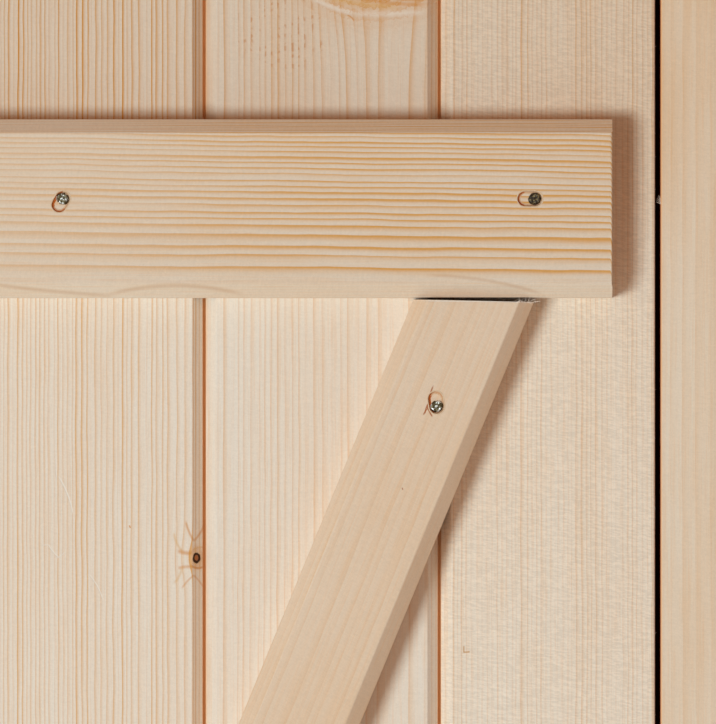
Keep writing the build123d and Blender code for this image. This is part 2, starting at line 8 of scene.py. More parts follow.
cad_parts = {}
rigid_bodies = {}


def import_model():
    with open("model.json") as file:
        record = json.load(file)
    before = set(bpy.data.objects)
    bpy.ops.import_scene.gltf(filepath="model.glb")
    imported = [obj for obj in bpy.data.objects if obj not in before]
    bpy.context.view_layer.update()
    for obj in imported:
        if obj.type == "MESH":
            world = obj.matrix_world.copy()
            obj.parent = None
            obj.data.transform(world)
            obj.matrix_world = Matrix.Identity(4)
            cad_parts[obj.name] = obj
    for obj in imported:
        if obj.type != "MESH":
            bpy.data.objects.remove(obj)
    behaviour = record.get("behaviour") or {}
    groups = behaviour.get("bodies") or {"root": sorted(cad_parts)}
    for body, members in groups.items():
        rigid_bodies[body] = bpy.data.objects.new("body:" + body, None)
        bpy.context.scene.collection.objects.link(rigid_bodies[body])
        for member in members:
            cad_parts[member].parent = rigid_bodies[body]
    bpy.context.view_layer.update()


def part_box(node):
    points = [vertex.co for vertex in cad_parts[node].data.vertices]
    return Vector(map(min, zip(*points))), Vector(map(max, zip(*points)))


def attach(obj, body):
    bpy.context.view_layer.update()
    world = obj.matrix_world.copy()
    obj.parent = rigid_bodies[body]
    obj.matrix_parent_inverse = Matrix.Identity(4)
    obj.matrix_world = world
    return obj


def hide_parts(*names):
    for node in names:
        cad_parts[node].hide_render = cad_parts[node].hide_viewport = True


bl_info = {
    "name": "Barn Door",
    "version": (1, 0, 0),
    "blender": (4, 5, 0),
    "location": "View3D > Sidebar > Barn Door",
    "description": "Raw pine, driven nails and black iron fittings for a ledged and braced door",
    "category": "Add Mesh",
}

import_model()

MM = 0.001
BOARDS = [f"board_{number}" for number in range(1, 10)]
UPRIGHT_FRAME = ["jamb_hinge_side", "jamb_latch_side", "stop_hinge_side", "stop_latch_side"]
LEVEL_FRAME = ["head", "sill", "stop_head"]

BOARD_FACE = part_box("board_9")[0].y
BOARD_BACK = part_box("board_9")[1].y
BOARD_MIDDLE = (BOARD_FACE + BOARD_BACK) / 2
BOARD_COVER = (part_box("board_8")[0].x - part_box("board_2")[0].x) / 6
LEDGE_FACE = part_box("ledge_top")[0].y
LEDGE_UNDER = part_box("ledge_top")[0].z
DENT_FLOOR = LEDGE_FACE + 1.0 * MM
JAMB_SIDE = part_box("jamb_latch_side")[0].x
BRACE_LEVEL_WIDTH = 47.6 * MM

SHARP = radians(28)
SMOOTH = radians(40)
LONG_EDGE = 25 * MM
LEVEL_GRAIN = radians(-90)

# Heights of the fixings' heads, and the bolts' thread, in mm
DOME_HEIGHT = 1.8
COACH_HEIGHT = 4.0
NUT_HEIGHT = 6.5
THREAD_PITCH = 0.62
THREAD_PROUD = 2.5


def srgb(red, green, blue):
    """Screen values from 0 to 255 as a linear colour."""
    def linear(value):
        share = value / 255
        return share / 12.92 if share <= 0.04045 else ((share + 0.055) / 1.055) ** 2.4
    return (linear(red), linear(green), linear(blue), 1.0)


WHITE = (1.0, 1.0, 1.0, 1.0)
# Pale scratches; on the brace's top arris the same colour is a painted highlight
SCRATCH_AND_HIGHLIGHT = srgb(246, 236, 222)
CURL = srgb(214, 138, 44)
FAINT = srgb(224, 172, 98)
CHIP = srgb(206, 152, 92)
SOFT = srgb(204, 156, 108)
SPLIT = srgb(172, 88, 28)
RESIN = srgb(196, 116, 40)
KNOT_HALO = srgb(226, 160, 88)
KNOT_HEART = srgb(168, 92, 46)
PAINTED_RIM_LIGHT = srgb(242, 168, 92)
PAINTED_GAP_SHADE = srgb(196, 44, 14)
CRUSHED_PALE = srgb(236, 214, 184)
CRUSHED_DEEP = srgb(214, 176, 134)
CRUSHED_WALL = srgb(198, 116, 48)
CRUSHED_TORN_AND_SHADED = srgb(190, 98, 30)
LAMP_COLOUR = srgb(227, 247, 255)


# Sizes and colours that a user would change


def colour_setting(name, description, default):
    return bpy.props.FloatVectorProperty(
        name=name, description=description, subtype="COLOR", size=4, default=default, min=0, max=1,
    )


def length_setting(name, description, default, low, high):
    return bpy.props.FloatProperty(
        name=name, description=description, default=default, min=low, max=high, unit="LENGTH",
    )


class BARNDOOR_PG_wood(bpy.types.PropertyGroup):
    pale: colour_setting("Early wood", "Colour between the growth lines", srgb(243, 230, 213))
    line: colour_setting("Late wood", "Colour of the growth lines", srgb(220, 148, 14))
    # Painted shade: the front of the boards is darker and warmer above the upper ledge, where less light
    # falls
    shade_above_ledge: colour_setting(
        "Aged tone", "What the boards' colour is multiplied by above the upper ledge", (0.9, 0.84, 0.78, 1.0),
    )
    # Painted shade: this dark colour goes into the frame's inner corner by the stop and along the slit
    # between the ledge and the brace, where shade falls
    painted_shade: colour_setting("Grime", "Colour of the dirt in the frame's inner corner", srgb(58, 20, 10))
    # Painted shade: the orange-brown put deep in the joints between the boards, where shade falls
    joint_shade: colour_setting("Joint", "Colour of the wood deep in the joints", srgb(249, 198, 144))
    knot: colour_setting("Knot", "Colour of a knot's dark ring", srgb(44, 15, 6))
    arris: length_setting("Arris", "Width of the wood's eased edges", 0.3 * MM, 0.05 * MM, 0.5 * MM)
    roughness: bpy.props.FloatProperty(
        name="Roughness", description="Roughness of the planed wood", default=0.62, min=0, max=1,
    )


class BARNDOOR_PG_nails(bpy.types.PropertyGroup):
    length: length_setting("Head length", "Longer width of a nail head", 5.5 * MM, 2 * MM, 12 * MM)
    width: length_setting("Head width", "Shorter width of a nail head", 4.7 * MM, 2 * MM, 12 * MM)
    rise: length_setting(
        "Head rise", "Height of a nail head over the dent's floor", 0.8 * MM, 0.2 * MM, 2 * MM,
    )


class BARNDOOR_PG_iron(bpy.types.PropertyGroup):
    paint: colour_setting("Paint", "Colour of the fittings' black finish", srgb(44, 44, 46))
    edge: length_setting("Edge", "Width of the fittings' eased edges", 0.5 * MM, 0.05 * MM, 1 * MM)
    worn: colour_setting("Worn metal", "Colour where the finish is rubbed", srgb(104, 101, 97))


class BARNDOOR_PG_stage(bpy.types.PropertyGroup):
    distance: length_setting("Camera distance", "Distance of the camera from the boards' face", 5.0, 1, 20)
    across: length_setting("View across", "Place of the picture's middle along X", 0.2914, -2, 2)
    level: length_setting("View level", "Height of the picture's middle", 1.8135, 0, 3)
    field: length_setting("View width", "Width of the boards' face that the picture takes in", 0.2845, 0.1, 5)
    key: bpy.props.FloatProperty(
        name="Key light", description="Power of the light at the lower left", default=64, min=0,
    )
    fill: bpy.props.FloatProperty(
        name="Fill light", description="Strength of the light from all round", default=0.3, min=0,
    )


# Small helpers for node trees


class Value:
    """What a node gives out, with a sum, product or power of it as a Math node."""

    def __init__(self, tree, socket):
        self.tree = tree
        self.socket = socket

    def __add__(self, other):
        return calc("ADD", self, other)

    def __sub__(self, other):
        return calc("SUBTRACT", self, other)

    def __rsub__(self, other):
        return calc("SUBTRACT", other, self)

    def __mul__(self, other):
        return calc("MULTIPLY", self, other)

    def __truediv__(self, other):
        return calc("DIVIDE", self, other)

    def __pow__(self, other):
        return calc("POWER", self, other)

    def __abs__(self):
        return calc("ABSOLUTE", self)

    __radd__ = __add__
    __rmul__ = __mul__


def add_node(tree, kind, inputs=None, **settings):
    """A node with its settings made and its inputs given as values or constants."""
    made = tree.nodes.new(kind)
    for name, value in settings.items():
        setattr(made, name, value)
    for key, value in (inputs or {}).items():
        if isinstance(value, Value):
            tree.links.new(value.socket, made.inputs[key])
        else:
            made.inputs[key].default_value = value
    return made


def result(tree, kind, inputs=None, output=0, **settings):
    """What one output of a new node gives."""
    return Value(tree, add_node(tree, kind, inputs, **settings).outputs[output])


def tree_of(values):
    """The node tree that the first linked value lies in."""
    return next(value.tree for value in values if isinstance(value, Value))


def calc(operation, *values, clamp=False):
    """The result of a Math node."""
    inputs = dict(enumerate(values))
    return result(tree_of(values), "ShaderNodeMath", inputs, operation=operation, use_clamp=clamp)


def distance(first, second):
    """The length of the long side over two short ones at a right angle."""
    return calc("SQRT", first * first + second * second)


def blend(share, first, second, style="MIX"):
    """Two colours mixed by a share."""
    inputs = {0: share, 6: first, 7: second}
    return result(tree_of(inputs.values()), "ShaderNodeMix", inputs, 2, data_type="RGBA", blend_type=style)


def span(value, low, high, start=0.0, end=1.0):
    """A value's place between two limits, smoothed, as a share."""
    return result(
        value.tree, "ShaderNodeMapRange",
        {"Value": value, "From Min": low, "From Max": high, "To Min": start, "To Max": end},
        interpolation_type="SMOOTHSTEP",
    )


def xyz(vector):
    """The three parts of a vector."""
    parts = add_node(vector.tree, "ShaderNodeSeparateXYZ", {0: vector}).outputs
    return [Value(vector.tree, part) for part in parts]


def join_xyz(x, y, z):
    """A vector from three values."""
    return result(tree_of((x, y, z)), "ShaderNodeCombineXYZ", {0: x, 1: y, 2: z})


def cloud(place, scale, detail, roughness=0.5, seed=None):
    """Noise between 0 and 1 at a place, at a seed, or at both."""
    inputs = {"Vector": place, "W": seed, "Scale": scale, "Detail": detail, "Roughness": roughness}
    given = {name: value for name, value in inputs.items() if value is not None}
    size = "3D" if seed is None else "1D" if place is None else "4D"
    return result(tree_of((place, seed)), "ShaderNodeTexNoise", given, "Fac", noise_dimensions=size)


def new_group(name, inputs, outputs):
    """An empty node group and its inputs; one without a default is a vector, and outputs are numbers."""
    group = bpy.data.node_groups.new(name, "ShaderNodeTree")
    for socket, default in inputs.items():
        kind = "NodeSocketVector" if default is None else "NodeSocketFloat"
        made = group.interface.new_socket(socket, in_out="INPUT", socket_type=kind)
        if default is not None:
            made.default_value = default
    for socket in outputs:
        group.interface.new_socket(socket, in_out="OUTPUT", socket_type="NodeSocketFloat")
    start = group.nodes.new("NodeGroupInput").outputs
    return group, {socket.name: Value(group, socket) for socket in start if socket.name}


def finish_group(group, results):
    """Gives a group's results to its outputs."""
    add_node(group, "NodeGroupOutput", results)


def use_group(tree, name, inputs):
    """The results of a group, by name, in a tree that uses it."""
    made = add_node(tree, "ShaderNodeGroup", inputs, node_tree=bpy.data.node_groups[name])
    return {socket.name: Value(tree, socket) for socket in made.outputs}


def new_material(name):
    """A material and its empty node tree."""
    material = bpy.data.materials.new(name)
    material.use_nodes = True
    material.node_tree.nodes.clear()
    return material, material.node_tree


def finish_surface(tree, colour, roughness, height, strength, depth, more):
    """A Principled surface with a colour, a roughness and a relief, given to the output."""
    bump = result(tree, "ShaderNodeBump", {"Height": height, "Strength": strength, "Distance": depth})
    looks = {"Base Color": colour, "Roughness": roughness, "Normal": bump, **more}
    add_node(tree, "ShaderNodeOutputMaterial", {0: result(tree, "ShaderNodeBsdfPrincipled", looks)})


# Helpers for modelling


def pick(piece):
    """Makes a piece the only one that is selected, and the active one."""
    bpy.ops.object.select_all(action="DESELECT")
    piece.select_set(True)
    bpy.context.view_layer.objects.active = piece


def shape(piece, chosen, *steps):
    """Runs edit mode operators on the vertices that a test picks by their place."""
    pick(piece)
    bpy.ops.object.mode_set(mode="EDIT")
    bpy.ops.mesh.select_mode(type="VERT")
    bpy.ops.mesh.select_all(action="DESELECT")
    bpy.ops.object.mode_set(mode="OBJECT")
    for vertex in piece.data.vertices:
        vertex.select = chosen(vertex.co)
    bpy.ops.object.mode_set(mode="EDIT")
    for operator, settings in steps:
        operator(**settings)
    bpy.ops.object.mode_set(mode="OBJECT")


def everywhere(place):
    return True


def roughen(offset, seed, uniform=0.0):
    """The step that moves vertices at random."""
    return bpy.ops.transform.vertex_random, {"offset": offset, "uniform": uniform, "seed": seed}


def shift(x=0.0, y=0.0, z=0.0):
    """The step that moves vertices."""
    return bpy.ops.transform.translate, {"value": (x, y, z)}


def widen(x, y, z):
    """The step that scales vertices about their middle."""
    return bpy.ops.transform.resize, {"value": (x, y, z)}


def draw_out(depth):
    """The step that extrudes along Y."""
    return bpy.ops.mesh.extrude_region_move, {"TRANSFORM_OT_translate": {"value": (0.0, depth, 0.0)}}


def face_outwards():
    """The step that turns every face outwards."""
    return bpy.ops.mesh.normals_make_consistent, {"inside": False}


def apply_modifier(piece, kind, **settings):
    """Adds a modifier and applies it."""
    pick(piece)
    bpy.ops.object.modifier_add(type=kind)
    made = piece.modifiers[-1]
    for name, value in settings.items():
        setattr(made, name, value)
    bpy.ops.object.modifier_apply(modifier=made.name)


def settle(piece, name):
    """Names a modelled piece and works its place, turn and scale into its mesh."""
    pick(piece)
    piece.name = name
    bpy.ops.object.transform_apply(location=True, rotation=True, scale=True)
    bpy.ops.object.shade_smooth_by_angle(angle=SMOOTH)
    return piece


def copy_to(model, name, place, turn=(0.0, 0.0, 0.0), size=1.0):
    """A copy of a modelled piece with its own mesh, at a place, turn and size."""
    piece = model.copy()
    piece.data = model.data.copy()
    piece.name = name
    bpy.context.scene.collection.objects.link(piece)
    piece.rotation_euler = turn
    piece.scale = (size, size, size)
    piece.location = place
    pick(piece)
    bpy.ops.object.transform_apply(location=True, rotation=True, scale=True)
    return piece


def turned(name, rings, sides, capped=True):
    """A piece turned about Y, drawn out ring by ring; each ring is its radius and its Y, in mm."""
    bpy.ops.object.select_all(action="DESELECT")
    radius, level = rings[0]
    bpy.ops.mesh.primitive_circle_add(
        vertices=sides, radius=radius * MM, fill_type="NGON" if capped else "NOTHING",
        location=(0.0, level * MM, 0.0), rotation=(radians(90), 0.0, 0.0),
    )
    piece = settle(bpy.context.object, name)
    bpy.ops.object.mode_set(mode="EDIT")
    bpy.ops.mesh.select_mode(type="EDGE")
    bpy.ops.mesh.select_all(action="SELECT")
    for new_radius, new_level in rings[1:]:
        move = {"value": (0.0, (new_level - level) * MM, 0.0)}
        bpy.ops.mesh.extrude_edges_move(TRANSFORM_OT_translate=move)
        bpy.ops.transform.resize(value=(new_radius / radius, 1.0, new_radius / radius))
        radius, level = new_radius, new_level
    if capped:
        bpy.ops.mesh.edge_face_add()
    bpy.ops.mesh.select_all(action="SELECT")
    bpy.ops.mesh.normals_make_consistent(inside=False)
    bpy.ops.object.mode_set(mode="OBJECT")
    return settle(piece, name)


def install(piece, body, slot, material, *nodes):
    """Gives a finished piece its material and body, and the CAD nodes that it stands for; the slot is not
    used.
    """
    piece.data.materials.clear()
    piece.data.materials.append(material)
    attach(piece, body)
    if nodes:
        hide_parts(*nodes)
    return piece


def remove_models(*models):
    """Removes the pieces that were only there to be copied."""
    for model in models:
        bpy.data.objects.remove(model)


def solids(node):
    """The lowest and highest corners of each solid of a CAD node, in order of X and then Z."""
    mesh = bpy.data.objects[node].data
    leader = {}

    def find(key):
        while leader.setdefault(key, key) != key:
            key = leader[key]
        return key

    keys = [tuple(round(value * 1e6) for value in vertex.co) for vertex in mesh.vertices]
    for polygon in mesh.polygons:
        first = find(keys[polygon.vertices[0]])
        for index in polygon.vertices[1:]:
            leader[find(keys[index])] = first
    found = {}
    for key, vertex in zip(keys, mesh.vertices):
        found.setdefault(find(key), []).append(vertex.co)
    boxes = [
        (Vector([min(place[axis] for place in places) for axis in range(3)]),
         Vector([max(place[axis] for place in places) for axis in range(3)]))
        for places in found.values()
    ]
    return sorted(boxes, key=lambda corners: (round(corners[0].x, 5), round(corners[0].z, 5)))


def eased(node, width, body, slot, material, shortest=0.0):
    """A piece in a CAD node's shape with its sharp edges rounded, which stands for the node.

    With a shortest length, edges below it stay sharp and the faces stay triangles, which suits
    boards with small holes. Without it the flats are joined first, which suits ironwork.
    """
    piece = bpy.data.objects.new(f"{node}_eased", bpy.data.objects[node].data.copy())
    bpy.context.scene.collection.objects.link(piece)
    shape(piece, everywhere, (bpy.ops.mesh.remove_doubles, {"threshold": 1e-6}))
    if not shortest:
        shape(piece, everywhere, (bpy.ops.mesh.dissolve_limited, {"angle_limit": radians(1.0)}))
    shape(piece, everywhere, (bpy.ops.mesh.customdata_custom_splitnormals_clear, {}))
    bpy.ops.object.shade_smooth_by_angle(angle=SHARP)
    edges = bmesh.new()
    edges.from_mesh(piece.data)
    weights = [
        float(edge.is_manifold and edge.calc_face_angle() > SHARP and edge.calc_length() > shortest)
        for edge in edges.edges
    ]
    edges.free()
    piece.data.attributes.new("bevel_weight_edge", "FLOAT", "EDGE").data.foreach_set("value", weights)
    apply_modifier(piece, "BEVEL", width=width, segments=2, limit_method="WEIGHT")
    apply_modifier(piece, "WEIGHTED_NORMAL", keep_sharp=True)
    return install(piece, body, slot, material, node)


# Wood


def build_knot_group():
    """Grain that flows round a knot, with the knot's own ring and heart.

    Coordinates are in mm: X across the grain and Z along it.
    """
    group, start = new_group(
        "knot_in_grain",
        {"Place": None, "X": 0.0, "Z": 0.0, "Width": 3.0, "Height": 4.0, "Push": 0.6, "Reach": 8.0},
        ("Across", "Ring", "Heart", "Halo", "Swirl"),
    )
    x, _, z = xyz(start["Place"])
    away_x = x - start["X"]
    away_z = z - start["Z"]
    uneven = cloud(start["Place"], 0.7, 2.0) * 0.5 - 0.25
    radius = distance(away_x / start["Width"], away_z / start["Height"]) + uneven
    long_x = away_x / start["Reach"]
    long_z = away_z / (start["Reach"] * 1.5)
    fall = calc("EXPONENT", (long_x * long_x + long_z * long_z) * -1.0)
    turns = calc("FRACT", radius ** 0.7 * 6.0)
    finish_group(group, {
        "Across": start["X"] + away_x * (1.0 - fall * start["Push"]),
        "Ring": span(radius, 1.15, 0.85) * span(radius, 0.35, 0.6),
        "Heart": span(radius, 0.8, 0.35),
        "Halo": span(radius, 3.2, 0.9),
        "Swirl": turns ** 3.0 * span(radius, 2.7, 1.1),
    })


def build_ring_group():
    """Growth lines of sawn softwood: rings round a pith that lies beside the board.

    Coordinates are in mm: X across the grain, Y through the board, Z along the grain.
    """
    group, start = new_group(
        "growth_lines",
        {"Across": 0.0, "Place": None, "Pith across": 0.0, "Pith depth": 60.0, "Ring width": 2.2,
         "Wave": 1.5, "Wave length": 200.0, "Seed": 0.0, "Sharpness": 3.0, "Evenness": 0.15, "Slope": 0.0},
        ("Line", "Tone"),
    )
    across = start["Across"]
    seed = start["Seed"]
    _, through, along = xyz(start["Place"])
    slow = join_xyz(across * 0.012, through * 0.012, along / start["Wave length"])
    short = join_xyz(across * 0.11, through * 0.11, along * 0.045)
    bend = (cloud(slow, 1.0, 2.5, 0.45, seed) - 0.5) * (start["Wave"] * 8.0) + along * start["Slope"]
    bend = bend + (cloud(short, 1.0, 3.0, seed=seed) * 1.2 - 0.6)
    side = across - start["Pith across"] + bend
    turn = distance(side, through - start["Pith depth"]) / start["Ring width"]
    turn = turn + cloud(None, 1.0, 2.0, seed=turn * 0.31 + seed) * 1.3
    part = calc("FRACT", turn)
    year = calc("FLOOR", turn)
    chance = result(
        group, "ShaderNodeTexWhiteNoise", {"W": year + seed * 7.31}, "Value", noise_dimensions="1D",
    )
    late = part ** start["Sharpness"] * span(part, 1.0, 0.93, 0.0, 1.4)
    late = late * (start["Evenness"] + chance * (1.0 - start["Evenness"]))
    fading = cloud(slow, 1.6, 1.0, seed=year + seed)
    finish_group(group, {
        "Line": calc("MULTIPLY", late, span(fading, 0.2, 0.55, 0.45, 1.0), clamp=True),
        "Tone": cloud(slow, 2.6, 3.0, seed=seed + 9.0),
    })


def build_mark_group():
    """A slim mark along a bowed line from one point to another, in X and Z, in mm."""
    group, start = new_group(
        "slim_mark",
        {"Place": None, "From X": 0.0, "From Z": 0.0, "To X": 1.0, "To Z": 1.0, "Bow": 0.0, "Width": 0.3},
        ("Mark",),
    )
    x, _, z = xyz(start["Place"])
    run_x = start["To X"] - start["From X"]
    run_z = start["To Z"] - start["From Z"]
    away_x = x - start["From X"]
    away_z = z - start["From Z"]
    square = run_x * run_x + run_z * run_z
    along = (away_x * run_x + away_z * run_z) / square
    beside = (away_x * run_z - away_z * run_x) / calc("SQRT", square)
    off = abs(beside - along * (1.0 - along) * 4.0 * start["Bow"])
    mark = span(off, start["Width"], 0.0) * span(along, 0.0, 0.18) * span(along, 1.0, 0.82)
    finish_group(group, {"Mark": mark})


def build_resin_group():
    """Short resin dashes along the growth lines, inside an oval, in mm."""
    group, start = new_group(
        "resin_dashes",
        {"Place": None, "Line": 0.0, "X": 0.0, "Z": 0.0, "Width": 18.0, "Height": 12.0}, ("Dashes",),
    )
    x, _, z = xyz(start["Place"])
    share_x = (x - start["X"]) / start["Width"]
    share_z = (z - start["Z"]) / start["Height"]
    oval = share_x * share_x + share_z * share_z
    breaks = cloud(join_xyz(x * 0.4, 0.0, z * 0.42), 1.0, 1.0)
    clusters = cloud(start["Place"], 0.11, 1.0)
    dashes = span(breaks, 0.48, 0.6) * span(start["Line"], 0.1, 0.4) * span(clusters, 0.4, 0.55)
    finish_group(group, {"Dashes": dashes * span(oval, 1.0, 0.4)})


def build_fibre_group():
    """Fine fibres along the grain, ripple across it, and the planer's speckle, in mm."""
    group, start = new_group("wood_fibre", {"Place": None, "Seed": 0.0}, ("Fibre", "Ripple", "Speckle"))

    def stretched(scale, detail, turn=0.0):
        inputs = {"Vector": start["Place"], "Rotation": (0.0, turn, 0.0), "Scale": scale}
        place = result(group, "ShaderNodeMapping", inputs, vector_type="TEXTURE")
        return cloud(place, 1.0, detail, 0.6, start["Seed"])

    finish_group(group, {
        "Fibre": stretched((0.7, 0.7, 26.0), 2.0),
        "Ripple": span(stretched((2.8, 4.0, 0.6), 2.0, radians(8)), 0.35, 0.65),
        "Speckle": stretched((0.6, 0.6, 0.8), 1.0),
    })


def grain_place(tree, angle):
    """Object coordinates in mm, turned about Y so that the grain runs along Z."""
    inputs = {
        "Vector": result(tree, "ShaderNodeTexCoord", output="Object"), "Rotation": (0.0, angle, 0.0),
        "Scale": (1 / MM, 1 / MM, 1 / MM),
    }
    return result(tree, "ShaderNodeMapping", inputs, vector_type="POINT")


def draw_marks(tree, place, marks, painted_shade, colour, height, dull):
    """The colour and the relief with slim marks; those in the painted shade colour are added to the list of
    dull places.
    """
    for (from_x, from_z, to_x, to_z), bow, width, share, mark_colour in marks:
        mark = use_group(tree, "slim_mark", {
            "Place": place, "From X": from_x, "From Z": from_z, "To X": to_x, "To Z": to_z,
            "Bow": bow, "Width": width,
        })["Mark"]
        colour = blend(mark * share, colour, mark_colour)
        # Marks in the painted shade colour are painted shade, and they are made less glossy too
        if mark_colour == painted_shade:
            dull.append(calc("MINIMUM", mark * 2.0, 1.0))
        if mark_colour == SCRATCH_AND_HIGHLIGHT:
            height = height + mark * -1.2
    return colour, height


def draw_corner(place, corner, painted_shade, colour, dull):
    """The colour with a frame piece's painted light and shade at the gap: an orange rim and a red side, and
    painted shade by the stop.
    """
    across, depth, _ = xyz(place)
    below = depth - BOARD_FACE / MM
    behind = depth - BOARD_BACK / MM
    beside = abs(across) - corner
    # Painted light and shade: an orange rim on the arris, where the lit face turns into the gap
    rim = span(beside, 0.75, 0.3) * span(beside, -0.5, -0.2) * span(below, 2.0, 0.6)
    colour = blend(rim * 0.6, colour, PAINTED_RIM_LIGHT)
    # Painted shade: the side face inside the gap turns red where it falls into shade
    side = span(beside, 0.5, 0.2) * span(beside, -0.5, -0.2) * span(below, 0.4, 1.2) * span(below, 9.0, 4.0)
    colour = blend(side, colour, PAINTED_GAP_SHADE)
    # Painted shade: a dark strip in the corner beside the stop
    corner_shade = span(beside * beside + behind * behind, 90.0, 12.0)
    dull.append(corner_shade)
    return blend(corner_shade, colour, painted_shade)


def pine(name, angle=0.0, pith=(0.0, 60.0), ring=2.2, wave=1.5, wave_length=200.0, seed=0.0, sharp=3.2,
         even=0.25, slope=0.0, line=0.55, ripple=0.03, tint=(1.0, 1.0, 1.0), tone=0.1, leaf=False,
         corner=None, knots=(), resin=(), marks=(), calm=None):
    """A pine material for one piece or a set of like pieces, with its own growth lines.

    Each mark is its line's ends, its bow, width, share and colour. A leaf board has orange-brown painted
    shade deep in its joints, and painted shade above the upper ledge that darkens it and strengthens its
    lines. A frame piece has painted light and shade at the gap's edge and painted shade in the corner
    beside its stop.
    Past the calm place across the grain there are hardly any lines, and before the calm place along
    the grain they are weaker.
    """
    wood = bpy.context.scene.barn_wood
    painted_shade = tuple(wood.painted_shade)
    material, tree = new_material(name)
    place = grain_place(tree, angle)
    across, depth, along = xyz(place)
    knot_parts = []
    for knot in knots:
        moved = join_xyz(across, depth, along)
        knot_parts.append(use_group(tree, "knot_in_grain", {"Place": moved, **knot}))
        across = knot_parts[-1]["Across"]
    rings = use_group(tree, "growth_lines", {
        "Across": across, "Place": place, "Pith across": pith[0], "Pith depth": pith[1],
        "Ring width": ring, "Wave": wave, "Wave length": wave_length, "Seed": seed, "Sharpness": sharp,
        "Evenness": even, "Slope": slope,
    })
    fibre = use_group(tree, "wood_fibre", {"Place": place, "Seed": seed})
    pale = (wood.pale[0] * tint[0], wood.pale[1] * tint[1], wood.pale[2] * tint[2], 1.0)
    late = tuple(wood.line)
    strength = calc("MINIMUM", rings["Line"] * line, 0.8)
    if calm:
        strength = strength * span(across, calm[0], calm[0] + 2.5, 1.0, 0.12)
        strength = strength * span(along, calm[1], calm[1] + 150.0, 0.45, 1.0)
    if leaf:
        ledge_low, ledge_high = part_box("ledge_top")
        on_face = span(depth - BOARD_FACE / MM, 6.0, 4.0)
        # Painted shade: above the upper ledge the leaf's front is made darker and warmer, with stronger
        # lines, as less light falls there
        above = span(along, ledge_low.z / MM, ledge_high.z / MM) * on_face
        shade_above_ledge = blend(above, WHITE, tuple(wood.shade_above_ledge))
        pale = blend(1.0, pale, shade_above_ledge, "MULTIPLY")
        late = blend(1.0, late, shade_above_ledge, "MULTIPLY")
        strength = calc("MULTIPLY", strength, above * 0.5 + 1.0, clamp=True)
    colour = blend(span(rings["Tone"], 0.3, 0.75) * tone, pale, late)
    colour = blend(span(fibre["Fibre"], 0.42, 0.72) * 0.16, colour, late)
    colour = blend(strength, colour, late)
    shade = 1.0
    for part, amount in (("Fibre", 0.1), ("Ripple", ripple), ("Speckle", 0.14)):
        shade = shade * (fibre[part] * amount + (1.0 - amount / 2))
    colour = blend(1.0, colour, join_xyz(shade, shade, shade), "MULTIPLY")
    for spot in resin:
        dashes = use_group(tree, "resin_dashes", {"Place": place, "Line": rings["Line"], **spot})["Dashes"]
        colour = blend(dashes * 0.5, colour, RESIN)
    for found in knot_parts:
        colour = blend(found["Swirl"] * 0.85, colour, late)
        colour = blend(found["Halo"] * 0.35, colour, KNOT_HALO)
        colour = blend(found["Heart"] * 0.9, colour, KNOT_HEART)
        colour = blend(found["Ring"] * 0.95, colour, tuple(wood.knot))
    height = fibre["Fibre"] * 0.5 + rings["Line"] * (line * 0.2)
    height = height + fibre["Ripple"] * (ripple * 6.0) + fibre["Speckle"] * 0.35
    dull = [found[part] for found in knot_parts for part in ("Heart", "Ring")]
    colour, height = draw_marks(tree, place, marks, painted_shade, colour, height, dull)
    if corner:
        colour = draw_corner(place, corner, painted_shade, colour, dull)
    if leaf:
        # Painted shade: the wood deep in the joints between boards is tinted orange-brown for the shade there
        inside = span(abs(depth - BOARD_MIDDLE / MM), 5.4, 4.6)
        colour = blend(inside * 0.95, colour, tuple(wood.joint_shade))
    shine = 0.3
    if dull:
        dullest = dull[0]
        for other in dull[1:]:
            dullest = calc("MAXIMUM", dullest, other)
        shine = 0.3 - dullest * 0.29
    finish_surface(
        tree, colour, wood.roughness, height, 0.35, 0.2 * MM, {"IOR": 1.45, "Specular IOR Level": shine},
    )
    return material


def wooden(name, body, slot, **style):
    """A wooden piece with eased arrises and a pine of its own."""
    wood = bpy.context.scene.barn_wood
    return eased(name, wood.arris, body, slot, pine(f"pine_{name}", **style), shortest=LONG_EDGE)


class BARNDOOR_OT_groups(bpy.types.Operator):
    """Build the node groups that the wood and metal share"""
    bl_idname = "barn_door.groups"
    bl_label = "Material Groups"

    def execute(self, context):
        build_knot_group()
        build_ring_group()
        build_fibre_group()
        build_mark_group()
        build_resin_group()
        build_metal_group()
        return {"FINISHED"}


